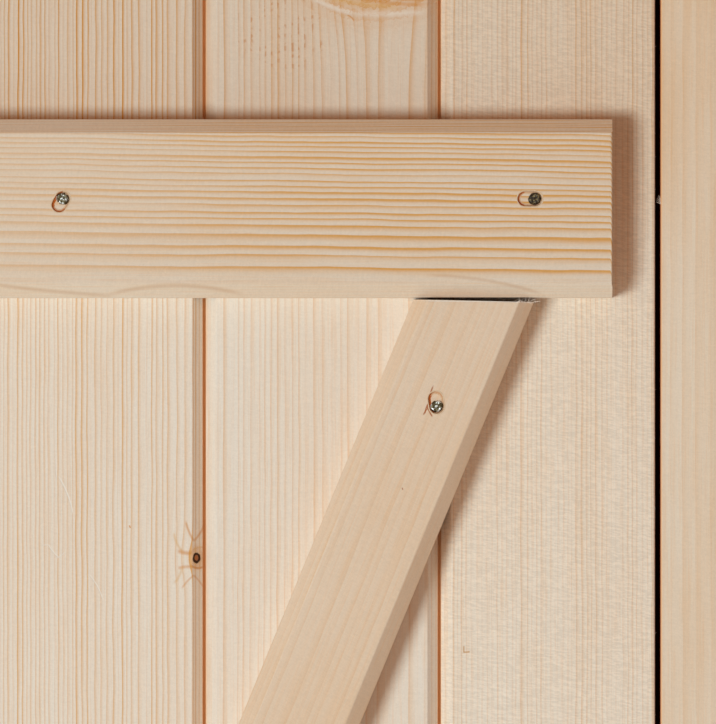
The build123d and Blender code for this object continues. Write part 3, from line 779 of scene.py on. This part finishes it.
class BARNDOOR_OT_boards(bpy.types.Operator):
    """Finish the leaf's boards in raw pine, each with its own growth lines"""
    bl_idname = "barn_door.boards"
    bl_label = "Leaf Boards"

    def execute(self, context):
        scratches = [
            ((172.7, 1776.6, 173.3, 1766.0), 0.3, 0.35, 0.35, SCRATCH_AND_HIGHLIGHT),
            ((173.1, 1769.5, 179.6, 1752.5), -1.0, 0.5, 0.85, SCRATCH_AND_HIGHLIGHT),
            ((179.5, 1753.5, 179.4, 1745.6), -0.2, 0.4, 0.45, SCRATCH_AND_HIGHLIGHT),
            ((167.0, 1741.3, 170.6, 1741.2), -0.4, 0.4, 0.5, SCRATCH_AND_HIGHLIGHT),
            ((169.6, 1741.8, 174.0, 1736.5), 0.3, 0.45, 0.6, SCRATCH_AND_HIGHLIGHT),
            ((172.6, 1736.4, 176.2, 1739.0), 0.4, 0.4, 0.5, SCRATCH_AND_HIGHLIGHT),
            ((185.2, 1730.6, 191.2, 1719.6), -0.8, 0.4, 0.7, SCRATCH_AND_HIGHLIGHT),
        ]
        curls = [
            ((223.6, 1751.4, 227.4, 1742.4), 0.5, 0.8, 0.6, CURL),
            ((231.3, 1750.4, 226.6, 1742.8), -0.5, 0.8, 0.55, CURL),
            ((227.4, 1730.1, 222.0, 1724.2), 0.4, 0.7, 0.45, CURL),
            ((226.4, 1730.1, 230.8, 1724.6), -0.3, 0.7, 0.45, CURL),
            ((219.0, 1747.0, 222.8, 1738.6), 0.8, 0.9, 0.45, FAINT),
            ((220.2, 1739.5, 226.8, 1738.5), 0.5, 1.4, 0.6, CURL),
            ((226.8, 1733.0, 220.3, 1732.4), 0.3, 1.1, 0.5, CURL),
            ((222.3, 1733.3, 218.8, 1726.2), -0.7, 0.9, 0.4, FAINT),
            ((225.4, 1733.8, 231.6, 1733.6), 1.2, 0.8, 0.7, CURL),
            ((226.0, 1739.1, 231.4, 1740.3), -0.9, 0.7, 0.45, FAINT),
            ((201.5, 1749.4, 202.0, 1748.2), 0.0, 0.45, 0.9, CURL),
        ]
        swirl = [
            ((272.0, 1957.5, 291.0, 1950.4), 1.2, 1.6, 0.45, SCRATCH_AND_HIGHLIGHT),
            ((288.0, 1950.6, 319.0, 1951.2), 0.6, 1.8, 0.4, SCRATCH_AND_HIGHLIGHT),
            ((277.0, 1957.5, 309.5, 1953.2), 1.2, 2.2, 0.45, FAINT),
            ((286.0, 1958.0, 320.5, 1954.2), 1.4, 1.3, 0.5, CURL),
            ((296.0, 1958.4, 320.5, 1955.9), 1.2, 0.8, 0.5, CURL),
            ((303.0, 1958.8, 320.5, 1957.2), 0.9, 0.7, 0.5, CURL),
            ((286.9, 1949.9, 290.0, 1947.2), -0.5, 0.5, 0.7, CURL),
        ]
        small_knot = {"X": 227.9, "Z": 1736.5, "Width": 1.5, "Height": 2.15, "Push": 0.85, "Reach": 5.5}
        large_knot = {"X": 298.0, "Z": 1967.0, "Width": 14.0, "Height": 9.5, "Push": 0.5, "Reach": 17.0}
        styles = {
            "board_7": dict(
                pith=(246.0, -8.0), ring=1.6, seed=3.1, line=0.86, even=0.12, wave=0.35, wave_length=420.0,
                marks=scratches + curls, knots=[small_knot],
            ),
            "board_8": dict(
                pith=(332.0, 20.0), ring=2.0, seed=8.4, line=0.42, even=0.1, wave=0.5, wave_length=420.0,
                marks=swirl, knots=[large_knot],
                resin=[{"X": 263.0, "Z": 1944.0, "Width": 24.0, "Height": 19.0}],
            ),
            "board_9": dict(
                pith=(580.0, 25.0), ring=1.85, seed=5.6, line=0.4, even=0.3, wave=0.3, wave_length=420.0,
                ripple=0.12, tint=(1.04, 1.03, 1.01),
                marks=[((333.0, 1702.1, 333.0, 1699.1), 0.0, 0.4, 0.9, CHIP),
                       ((332.6, 1699.5, 335.6, 1699.7), 0.1, 0.5, 0.9, CHIP)],
            ),
        }
        for number, name in enumerate(BOARDS, start=1):
            low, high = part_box(name)
            middle = (low.x + high.x) / 2 / MM
            style = {
                "pith": (middle + 70.0 * sin(number * 2.4), 40.0 + 25.0 * cos(number * 1.7)),
                "ring": 2.3 + 0.5 * sin(number * 1.3), "seed": number * 3.7, "line": 0.42, "wave": 0.9,
            }
            style.update(styles.get(name, {}))
            wooden(name, "leaf", "board_pine", leaf=True, **style)
        return {"FINISHED"}


class BARNDOOR_OT_ledges(bpy.types.Operator):
    """Finish the ledges and the brace, with the grain along each"""
    bl_idname = "barn_door.ledges"
    bl_label = "Ledges and Brace"

    def execute(self, context):
        painted_shade = tuple(context.scene.barn_wood.painted_shade)
        under = -LEDGE_UNDER / MM
        streaks = [
            # Painted shade: the first streak darkens the ledge's lower edge over the slit above the brace
            ((under, 310.0, under, 366.0), 0.0, 0.4, 0.95, painted_shade),
            ((under - 6.6, 140.0, under - 0.8, 198.0), 0.8, 1.3, 0.4, SOFT),
            ((under - 0.4, 190.0, under - 0.4, 250.0), -4.4, 1.4, 0.4, SOFT),
            ((under - 9.0, 316.0, under - 0.8, 366.0), -2.0, 1.2, 0.35, SOFT),
        ]
        for name, seed, marks in (("ledge_top", 2.3, streaks), ("ledge_bottom", 6.9, ())):
            lower_edge = -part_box(name)[0].z / MM
            wooden(
                name, "leaf", "ledge_pine", angle=LEVEL_GRAIN, pith=(lower_edge + 12.5, -215.0), ring=0.9,
                seed=seed, line=1.3, even=0.6, sharp=2.8, wave=0.4, wave_length=150.0, slope=-0.012,
                tint=(0.925, 0.875, 0.82), calm=(lower_edge - 10.0, 150.0), marks=marks,
            )
        low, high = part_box("brace")
        lean = -atan2(high.x - low.x - BRACE_LEVEL_WIDTH, high.z - low.z)

        def along(x, z):
            """A place on the brace in the turned coordinates that its grain runs along."""
            return (x * cos(lean) + z * sin(lean), z * cos(lean) - x * sin(lean))

        splits = [
            ((*along(321.1, 1804.8), *along(318.6, 1794.4)), 0.5, 0.5, 0.95, SPLIT),
            ((*along(319.0, 1797.6), *along(317.5, 1793.0)), 0.2, 0.45, 0.95, SPLIT),
            ((*along(318.6, 1795.4), *along(316.9, 1792.6)), 0.1, 0.45, 0.9, SPLIT),
            ((*along(318.4, 1796.2), *along(320.6, 1791.9)), 0.1, 0.5, 0.95, SPLIT),
            ((*along(308.6, 1764.4), *along(309.0, 1763.4)), 0.0, 0.35, 0.9, SPLIT),
            # Painted shade: this dark mark darkens the brace's head along the slit under the ledge
            ((*along(309.0, 1838.7), *along(368.0, 1838.3)), 0.0, 0.9, 0.95, painted_shade),
            # Painted highlight: a pale line along the brace's top arris beside the slit
            ((*along(312.0, 1837.5), *along(372.0, 1836.7)), 0.0, 0.35, 0.75, SCRATCH_AND_HIGHLIGHT),
        ]
        wooden(
            "brace", "leaf", "brace_pine", angle=lean, pith=(-520.0, 20.0), ring=3.1, seed=4.4, line=0.22,
            sharp=2.2, wave=0.5, tint=(0.95, 0.84, 0.74), marks=splits,
        )
        return {"FINISHED"}


class BARNDOOR_OT_frame(bpy.types.Operator):
    """Finish the frame and the stops in raw pine"""
    bl_idname = "barn_door.frame"
    bl_label = "Frame and Stops"

    def execute(self, context):
        for number, name in enumerate(UPRIGHT_FRAME, start=1):
            low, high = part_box(name)
            wooden(
                name, "frame", "frame_pine", pith=((low.x + high.x) / 2 / MM + 90.0, 70.0), ring=3.6,
                seed=number * 5.3, line=0.22, sharp=1.6, even=0.15, wave=0.7, wave_length=420.0,
                tint=(1.0, 0.96, 0.9), tone=0.34, corner=JAMB_SIDE / MM,
            )
        for number, name in enumerate(LEVEL_FRAME, start=1):
            low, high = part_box(name)
            wooden(
                name, "frame", "frame_pine", angle=LEVEL_GRAIN,
                pith=(-(low.z + high.z) / 2 / MM - 60.0, 80.0), ring=2.8, seed=number * 4.1, line=0.36,
                wave=1.0, tint=(1.0, 0.95, 0.87), corner=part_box("head")[0].z / MM,
            )
        return {"FINISHED"}


# Metal


def build_metal_group():
    """Rubbed patches, mottling and fine brush marks for metal, from coordinates in mm."""
    group, start = new_group(
        "metal_wear", {"Place": None, "Amount": 0.4, "Size": 1.0}, ("Rubbed", "Mottle", "Grain"),
    )
    inputs = {0: start["Place"], 3: start["Size"]}
    scaled = result(group, "ShaderNodeVectorMath", inputs, operation="SCALE")
    low = 0.95 - start["Amount"] * 0.6
    finish_group(group, {
        "Rubbed": span(cloud(scaled, 0.08, 6.0, 0.7), low, low + 0.12),
        "Mottle": cloud(scaled, 0.9, 4.0, 0.6),
        "Grain": cloud(scaled, 4.0, 2.0),
    })


def metal(name, dark, bright, amount, size, rough, shine, metallic, patchy=0.0):
    """A metal material whose colour, gloss and surface follow the shared wear group."""
    material, tree = new_material(name)
    wear = use_group(tree, "metal_wear", {"Place": grain_place(tree, 0.0), "Amount": amount, "Size": size})
    mottle = wear["Mottle"]
    share = span(mottle, 0.62 - patchy, 0.7 - patchy) if patchy else mottle * 0.35
    colour = blend(wear["Rubbed"], blend(share, dark, bright), bright)
    gloss = mottle * 0.2 + (rough - 0.1) - wear["Rubbed"] * shine
    height = wear["Grain"] * 0.3 + mottle * 0.7
    finish_surface(tree, colour, gloss, height, 0.3, 0.3 * MM, {"Metallic": metallic})
    return material


class BARNDOOR_OT_nails(bpy.types.Operator):
    """Model the driven nails' hammered heads and the crushed wood of their dents"""
    bl_idname = "barn_door.nails"
    bl_label = "Nails and Dents"

    def nail_head(self, settings):
        """A low dome with a dented crown, on a short shank that runs into the wood."""
        bpy.ops.object.select_all(action="DESELECT")
        bpy.ops.mesh.primitive_uv_sphere_add(
            segments=20, ring_count=14, radius=1.0, rotation=(radians(90), 0.0, 0.0),
            scale=(settings.length / 2, settings.width / 2, settings.rise * 1.5),
        )
        head = settle(bpy.context.object, "nail_head_model")
        shape(
            head, everywhere,
            (bpy.ops.mesh.bisect, {"plane_co": (0.0, 0.0, 0.0), "plane_no": (0.0, 1.0, 0.0),
                                   "clear_outer": True}),
        )
        crown = -settings.rise * 0.82
        shape(head, lambda place: place.y < crown, widen(1.0, 0.12, 1.0), roughen(0.2 * MM, 4, 0.2))
        shape(
            head, lambda place: place.y > -0.01 * MM,
            draw_out(0.35 * MM), widen(0.5, 1.0, 0.5), draw_out(6.0 * MM), (bpy.ops.mesh.edge_face_add, {}),
        )
        shape(head, lambda place: place.y < 0.1 * MM, roughen(0.3 * MM, 11))
        shape(head, everywhere, face_outwards())
        apply_modifier(head, "SUBSURF", levels=1)
        # The subdivision's order of vertices varies, and the random moves follow that order.
        order = {"type": "CURSOR_DISTANCE", "elements": {"VERT"}}
        shape(head, everywhere, (bpy.ops.mesh.sort_elements, order))
        shape(head, lambda place: place.y < 0.0, roughen(0.1 * MM, 9, 0.3))
        return settle(head, "nail_head_model")

    def dent_lining(self, name, reach, torn, side):
        """An oval of crushed wood: a raised rim, a steep wall and the floor's border.

        The far end of the wall is torn, and browner, by a share, and so is one side if it is given. That
        brown is partly torn fibres and partly painted shade on the wall away from the light, and points near
        the nail carry painted shade for the crevice round its head.
        """
        rings = [(3.6, 0.06), (3.3, -0.05), (3.06, -0.09), (2.9, 0.12), (2.72, 0.6), (2.45, 0.93),
                 (1.9, 0.96), (1.6, 1.1)]
        lining = turned(name, rings, 34, capped=False)
        shape(lining, everywhere, roughen(0.07 * MM, 7, 0.3))
        shape(lining, lambda place: place.x > 0.0, shift(reach * MM))
        shape(lining, everywhere, face_outwards())
        apply_modifier(lining, "SUBSURF", levels=2)
        mesh = lining.data
        crevice_shade = mesh.attributes.new("near_nail", "FLOAT", "POINT")
        far = mesh.attributes.new("far_end", "FLOAT", "POINT")
        for index, vertex in enumerate(mesh.vertices):
            away = Vector((vertex.co.x, vertex.co.z)).length / MM
            beyond = Vector((vertex.co.x / MM - reach, vertex.co.z / MM))
            # Painted shade: points near the nail are darkened for the crevice round its head
            crevice_shade.data[index].value = min(1.0, max(0.0, 3.0 - away))
            at_end = torn if beyond.x > 0.2 else 0.0
            at_side = 1.0 if vertex.co.z * side > 1.4 * MM else 0.0
            far.data[index].value = max(at_end * min(1.0, max(0.0, beyond.length - 1.8)), at_side)
        return settle(lining, name)

    def crushed_wood(self):
        """Wood pale on the crushed rim, orange-brown on the wall, and dark by the nail as painted shade in
        the crevice; the torn end's brown is partly painted shade.
        """
        material, tree = new_material("crushed_pine")
        place = grain_place(tree, 0.0)
        depth = xyz(place)[1] - LEDGE_FACE / MM
        rough = cloud(place, 1.6, 3.0, 0.6)
        crevice_shade = result(tree, "ShaderNodeAttribute", output="Fac", attribute_name="near_nail")
        far = result(tree, "ShaderNodeAttribute", output="Fac", attribute_name="far_end")
        wall = span(depth, 0.05, 0.25) * span(depth, 0.98, 0.9)
        colour = blend(wall * 0.4, blend(rough, CRUSHED_PALE, CRUSHED_DEEP), CRUSHED_WALL)
        # Partly painted shade: the torn end browns for torn fibres and also for its wall facing away from the
        # light
        torn = span(far, 0.05, 0.5) * span(depth, 0.0, 0.2) * span(rough, 0.3, 0.5, 0.6, 1.0)
        colour = blend(torn, colour, CRUSHED_TORN_AND_SHADED)
        # Painted shade in the crevice round the nail's head
        dark = span(crevice_shade * (rough * 2.0 + 0.1), 0.35, 0.8) * span(depth, 0.1, 0.5)
        colour = blend(dark * 0.9, colour, tuple(bpy.context.scene.barn_wood.knot))
        finish_surface(tree, colour, 0.7, rough, 0.5, 0.2 * MM, {"Specular IOR Level": 0.25})
        return material

    def execute(self, context):
        crushed = self.crushed_wood()
        dark = metal(
            "nail_steel_dark", srgb(50, 38, 22), srgb(124, 104, 64), amount=0.0, size=1.5, rough=0.42,
            shine=0.1, metallic=0.5, patchy=0.1,
        )
        bright = metal(
            "nail_steel_bright", srgb(84, 72, 46), srgb(238, 236, 228), amount=0.0, size=0.8, rough=0.38,
            shine=0.1, metallic=0.7, patchy=0.1,
        )
        head = self.nail_head(context.scene.barn_nails)
        side = self.dent_lining("side_dent_model", reach=3.8, torn=0.6, side=0)
        low = self.dent_lining("low_dent_model", reach=2.7, torn=0.5, side=-1)
        slant = self.dent_lining("slant_dent_model", reach=2.9, torn=0.2, side=1)
        nails = [(node, (low_end + high_end) / 2) for node in ("ledge_nails", "brace_nails")
                 for low_end, high_end in solids(node)]
        for number, (node, middle) in enumerate(nails, start=1):
            board = round(middle.x / BOARD_COVER)
            on_brace = node == "brace_nails"
            # Bright and dark nails take turns from board to board.
            bright_head = (board % 2 == 1) if on_brace else (board % 4 == 2)
            seat = Vector((middle.x, DENT_FLOOR, middle.z))
            nail = copy_to(head, f"nail_head_{number}", seat, (0.0, radians(37 * number % 60 - 30), 0.0))
            install(nail, "leaf", "nail_steel", bright if bright_head else dark, node)
            # The turn puts each dent's torn end, which is partly painted shade, on the side away from the
            # light
            model, aim = (slant, 99) if on_brace else (low, 240) if bright_head else (side, 180)
            mouth = Vector((middle.x, LEDGE_FACE, middle.z))
            lining = copy_to(model, f"dent_lining_{number}", mouth, (0.0, radians(-aim), 0.0))
            install(lining, "leaf", "brace_pine" if on_brace else "ledge_pine", crushed)
        remove_models(head, side, low, slant)
        return {"FINISHED"}


class BARNDOOR_OT_splinters(bpy.types.Operator):
    """Model the sawn edge's loose fibres and the splinters at the brace's head"""
    bl_idname = "barn_door.splinters"
    bl_label = "Splinters"

    def sliver(self):
        """A thin tapering fibre that curls a little, with its root at the origin."""
        bpy.ops.object.select_all(action="DESELECT")
        bpy.ops.mesh.primitive_cone_add(
            vertices=5, radius1=0.13 * MM, radius2=0.02 * MM, depth=2.0 * MM, location=(0.0, 0.0, 1.0 * MM),
        )
        piece = settle(bpy.context.object, "sliver_model")
        shape(piece, everywhere, (bpy.ops.mesh.subdivide, {"number_cuts": 2}), roughen(0.03 * MM, 3))
        shape(piece, lambda place: place.z > 1.2 * MM, shift(0.12 * MM))
        return settle(piece, "sliver_model")

    def strew(self, model, name, places):
        """Copies of the sliver at places with their turns and sizes, joined."""
        pieces = [
            copy_to(model, f"{name}_{number}", place, turn, size)
            for number, (place, turn, size) in enumerate(places)
        ]
        bpy.ops.object.select_all(action="DESELECT")
        for piece in pieces:
            piece.select_set(True)
        bpy.context.view_layer.objects.active = pieces[0]
        bpy.ops.object.join()
        pieces[0].name = name
        return pieces[0]

    def execute(self, context):
        pale = pine("pine_fibres", line=0.0, tint=(1.05, 1.05, 1.08))
        model = self.sliver()

        def chance(number, low, high):
            """A value between two limits that is the same each run."""
            share = noise.noise(Vector((number * 1.37, number * 0.61, 4.2))) + 0.5
            return low + (high - low) * min(1.0, max(0.0, share))

        low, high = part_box("board_9")
        fibres = 230
        edge = []
        for number in range(fibres):
            level = low.z + (high.z - low.z) * (number + chance(number, 0.1, 0.9)) / (fibres + 1)
            turn = (radians(chance(number + 300, -60, 240)), radians(chance(number + 600, 20, 160)), 0.0)
            depth = BOARD_FACE + chance(number + 900, 0.05, 0.5) * MM
            edge.append(((high.x - 0.2 * MM, depth, level), turn, chance(number + 50, 0.3, 0.75)))
        install(self.strew(model, "board_edge_fibres", edge), "leaf", "board_pine", pale)
        first_splinter = 353.0 * MM
        torn = []
        for number in range(16):
            across = first_splinter + number * 0.55 * MM
            depth = LEDGE_FACE + chance(number, -0.45, 0.1) * MM
            level = LEDGE_UNDER - chance(number + 60, 0.8, 2.0) * MM
            turn = (radians(chance(number + 20, -50, 50)), radians(chance(number + 40, -20, 120)), 0.0)
            torn.append(((across, depth, level), turn, chance(number + 80, 0.6, 1.15)))
        install(self.strew(model, "brace_head_splinters", torn), "leaf", "brace_pine", pale)
        chip_level = 1875.6 * MM
        chip = []
        for number in range(5):
            depth = BOARD_FACE + (0.4 + number * 0.12) * MM
            place = (JAMB_SIDE + 0.2 * MM, depth, chip_level + number * 0.45 * MM)
            chip.append((place, (0.0, radians(-70 + number * 9), 0.0), 1.0))
        install(self.strew(model, "jamb_chip", chip), "frame", "frame_pine", pale)
        remove_models(model)
        return {"FINISHED"}


class BARNDOOR_OT_fixings(bpy.types.Operator):
    """Model the domed and six-sided screws, the cup-headed bolts and their nuts"""
    bl_idname = "barn_door.fixings"
    bl_label = "Screws and Bolts"

    def round_screw(self):
        """A domed head with a driver's slot, and its shank."""
        screw = turned("round_screw_model", [
            (0.6, -DOME_HEIGHT), (1.6, -1.72), (2.5, -1.42), (3.15, -0.95), (3.5, -0.42), (3.58, -0.15),
            (3.5, 0.0), (2.0, 0.05), (2.0, 14.0),
        ], 28)
        for level in (-0.52, -0.42, 0.42, 0.52):
            cut = {"plane_co": (0.0, 0.0, level * MM), "plane_no": (0.0, 0.0, 1.0)}
            shape(screw, everywhere, (bpy.ops.mesh.bisect, cut))
        shape(
            screw, lambda place: abs(place.z) < 0.45 * MM and place.y < -0.6 * MM, shift(0.0, 0.75 * MM),
        )
        return settle(screw, "round_screw_model")

    def six_sided(self, name, across_flats, height, shank=0.0, length=0.0):
        """A six-sided head whose crown is chamfered, on a plain shank where it has one."""
        corner = across_flats / 2 / cos(radians(30))
        rings = [(corner * 0.82, -height), (corner * 0.9, 0.12 - height), (corner, 0.75 - height),
                 (corner, 0.0)]
        if shank:
            rings += [(shank, 0.02), (shank, length)]
        piece = turned(name, rings, 6)
        apply_modifier(piece, "BEVEL", width=0.22 * MM, segments=2, limit_method="ANGLE",
                       angle_limit=radians(30), use_clamp_overlap=False)
        return settle(piece, name)

    def cup_bolt(self, reach):
        """A domed cup head, the shank that runs to the nut, and the thread's proud end."""
        rings = [(1.2, 4.5), (4.2, 4.3), (6.8, 3.6), (8.7, 2.4), (9.7, 1.1), (9.95, 0.35), (9.8, 0.0),
                 (4.0, -0.1), (4.0, 0.9 - reach)]
        for thread in range(5):
            start = -reach - thread * THREAD_PITCH
            rings += [(3.45, start + 1.15), (3.95, start + 0.85)]
        rings += [(3.2, 0.15 - THREAD_PROUD - reach), (2.6, -THREAD_PROUD - reach)]
        return turned("cup_bolt_model", rings, 32)

    def place_all(self, model, node, body, material, height, flip_behind=False):
        """A copy of a model, whose head has this height, for each solid of a CAD node they replace."""
        for number, (low, high) in enumerate(solids(node), start=1):
            middle = (low + high) / 2
            behind = flip_behind and high.y > BOARD_MIDDLE
            depth = high.y - height * MM if behind else low.y + height * MM
            turn = (0.0, radians(number * 47 % 180), pi if behind else 0.0)
            piece = copy_to(model, f"{node}_{number}", Vector((middle.x, depth, middle.z)), turn)
            install(piece, body, "black_fixings", material, node)

    def execute(self, context):
        iron = context.scene.barn_iron
        fixings = metal(
            "black_fixings", tuple(iron.paint), tuple(iron.worn), amount=0.55, size=2.0, rough=0.42,
            shine=0.12, metallic=0.0,
        )
        screw = self.round_screw()
        for node, body in (("handle_screws", "leaf"), ("bolt_screws", "leaf"), ("keeper_screws", "frame")):
            self.place_all(screw, node, body, fixings, DOME_HEIGHT, flip_behind=True)
        coach = self.six_sided("coach_screw_model", 10.0, COACH_HEIGHT, shank=2.8, length=20.0)
        for node, body in (("band_screws", "leaf"), ("hook_screws", "frame")):
            self.place_all(coach, node, body, fixings, COACH_HEIGHT)
        nut = self.six_sided("nut_model", 13.0, NUT_HEIGHT)
        self.place_all(nut, "hinge_nuts", "leaf", fixings, NUT_HEIGHT)
        eased("hinge_washers", 0.25 * MM, "leaf", "black_fixings", fixings)
        bolts = solids("hinge_bolts")
        bolt = self.cup_bolt((BOARD_BACK - bolts[0][0].y) / MM - THREAD_PROUD)
        for number, (low, high) in enumerate(bolts, start=1):
            middle = (low + high) / 2
            piece = copy_to(bolt, f"cup_bolt_{number}", Vector((middle.x, BOARD_BACK, middle.z)))
            install(piece, "leaf", "black_fixings", fixings, "hinge_bolts")
        remove_models(screw, coach, nut, bolt)
        return {"FINISHED"}


class BARNDOOR_OT_iron(bpy.types.Operator):
    """Finish the hinges, handles, sliding bolt and their brads"""
    bl_idname = "barn_door.iron"
    bl_label = "Iron Fittings"

    def execute(self, context):
        iron = context.scene.barn_iron
        black = metal(
            "black_iron", tuple(iron.paint), tuple(iron.worn), amount=0.35, size=1.0, rough=0.48, shine=0.1,
            metallic=0.0,
        )
        for name in ("band_bottom", "band_top", "bolt_plate"):
            eased(name, iron.edge, "leaf", "black_iron", black)
        for name in ("handle_front", "handle_back"):
            eased(name, iron.edge * 2.0, "leaf", "black_iron", black)
        for name in ("hook_bottom", "hook_top", "bolt_keeper"):
            eased(name, iron.edge, "frame", "black_iron", black)
        steel = metal(
            "bolt_steel", srgb(150, 150, 148), srgb(196, 196, 193), amount=0.5, size=1.5, rough=0.36,
            shine=0.1, metallic=1.0,
        )
        eased("bolt_rod", iron.edge, "sliding_bolt", "bolt_steel", steel)
        brads = metal(
            "brad_steel", srgb(118, 114, 106), srgb(176, 172, 162), amount=0.6, size=3.0, rough=0.45,
            shine=0.1, metallic=1.0,
        )
        for name in ("face_brads", "stop_brads"):
            bpy.data.objects[name].data.materials.clear()
            bpy.data.objects[name].data.materials.append(brads)
        return {"FINISHED"}


# Stage


class BARNDOOR_OT_stage(bpy.types.Operator):
    """Set up the floor, the lights and the camera"""
    bl_idname = "barn_door.stage"
    bl_label = "Stage"

    def floor(self):
        """A wide pale floor, which is a little brighter to the camera."""
        bpy.ops.object.select_all(action="DESELECT")
        bpy.ops.mesh.primitive_plane_add(size=90.0, location=(0.0, 0.0, -0.5 * MM))
        floor = bpy.context.object
        floor.name = "floor"
        material, tree = new_material("pale_floor")
        looks = {"Base Color": srgb(226, 225, 222), "Roughness": 0.9}
        matt = result(tree, "ShaderNodeBsdfPrincipled", looks)
        glow = result(tree, "ShaderNodeEmission", {"Color": srgb(190, 204, 212), "Strength": 0.7})
        lifted = result(tree, "ShaderNodeAddShader", {0: matt, 1: glow})
        seen = result(tree, "ShaderNodeLightPath", output="Is Camera Ray")
        shown = result(tree, "ShaderNodeMixShader", {0: seen, 1: matt, 2: lifted})
        add_node(tree, "ShaderNodeOutputMaterial", {0: shown})
        floor.data.materials.append(material)

    def room(self, fill):
        """Warm light from all round, behind a pale backdrop."""
        world = bpy.data.worlds.new("pale_room")
        bpy.context.scene.world = world
        world.use_nodes = True
        tree = world.node_tree
        tree.nodes.clear()
        seen = calc(
            "MAXIMUM", result(tree, "ShaderNodeLightPath", output="Is Camera Ray"),
            result(tree, "ShaderNodeLightPath", output="Is Glossy Ray"),
        )
        room = result(tree, "ShaderNodeBackground", {"Color": srgb(255, 199, 165), "Strength": fill})
        backdrop = result(tree, "ShaderNodeBackground", {"Color": srgb(240, 240, 239), "Strength": 1.0})
        mixed = result(tree, "ShaderNodeMixShader", {0: seen, 1: room, 2: backdrop})
        add_node(tree, "ShaderNodeOutputWorld", {0: mixed})

    def lamp(self, name, view, offset, size, power):
        """A round soft lamp that points at the picture's middle."""
        disc = bpy.data.lights.new(name, "AREA")
        disc.shape = "DISK"
        disc.size = size
        disc.energy = power
        disc.color = LAMP_COLOUR[:3]
        light = bpy.data.objects.new(name, disc)
        bpy.context.scene.collection.objects.link(light)
        light.location = view + offset
        light.rotation_mode = "QUATERNION"
        light.rotation_quaternion = (-offset).to_track_quat("-Z", "Y")

    def execute(self, context):
        settings = context.scene.barn_stage
        self.floor()
        self.room(settings.fill)
        view = Vector((settings.across, BOARD_FACE, settings.level))
        key = settings.key
        self.lamp("key_light", view, offset=Vector((-1.41, -2.65, -0.53)), size=1.05, power=key)
        self.lamp("back_light", view, offset=Vector((0.9, 3.2, 0.4)), size=2.4, power=key * 0.9)
        self.lamp("side_light", view, offset=Vector((2.6, 1.6, 2.0)), size=2.0, power=key * 0.7)

        camera = bpy.data.objects.new("camera", bpy.data.cameras.new("camera"))
        context.scene.collection.objects.link(camera)
        camera.data.sensor_width = 36.0
        camera.data.lens = camera.data.sensor_width * settings.distance / settings.field
        camera.data.clip_end = 100.0
        camera.location = view + Vector((0.0, -settings.distance, 0.0))
        camera.rotation_euler = (radians(90), 0.0, 0.0)
        context.scene.camera = camera
        context.scene.view_settings.view_transform = "Standard"
        return {"FINISHED"}


class BARNDOOR_PT_panel(bpy.types.Panel):
    """Barn door tools in the 3D view's sidebar"""
    bl_label = "Barn Door"
    bl_idname = "BARNDOOR_PT_panel"
    bl_space_type = "VIEW_3D"
    bl_region_type = "UI"
    bl_category = "Barn Door"

    def draw(self, context):
        for setting, group_type in SETTINGS:
            box = self.layout.box()
            for name in group_type.__annotations__:
                box.prop(getattr(context.scene, setting), name)
        for operator in OPERATORS:
            self.layout.operator(operator.bl_idname)


OPERATORS = (
    BARNDOOR_OT_groups, BARNDOOR_OT_boards, BARNDOOR_OT_ledges, BARNDOOR_OT_frame, BARNDOOR_OT_nails,
    BARNDOOR_OT_splinters, BARNDOOR_OT_iron, BARNDOOR_OT_fixings, BARNDOOR_OT_stage,
)
SETTINGS = (
    ("barn_wood", BARNDOOR_PG_wood), ("barn_nails", BARNDOOR_PG_nails),
    ("barn_iron", BARNDOOR_PG_iron), ("barn_stage", BARNDOOR_PG_stage),
)


def register():
    for name, group in SETTINGS:
        bpy.utils.register_class(group)
        setattr(bpy.types.Scene, name, bpy.props.PointerProperty(type=group))
    for operator in OPERATORS:
        bpy.utils.register_class(operator)
    bpy.utils.register_class(BARNDOOR_PT_panel)


def unregister():
    bpy.utils.unregister_class(BARNDOOR_PT_panel)
    for operator in reversed(OPERATORS):
        bpy.utils.unregister_class(operator)
    for name, group in reversed(SETTINGS):
        delattr(bpy.types.Scene, name)
        bpy.utils.unregister_class(group)


def main():
    register()
    bpy.ops.barn_door.groups()
    bpy.ops.barn_door.boards()
    bpy.ops.barn_door.ledges()
    bpy.ops.barn_door.frame()
    bpy.ops.barn_door.nails()
    bpy.ops.barn_door.splinters()
    bpy.ops.barn_door.iron()
    bpy.ops.barn_door.fixings()
    bpy.ops.barn_door.stage()


if __name__ == "__main__":
    main()
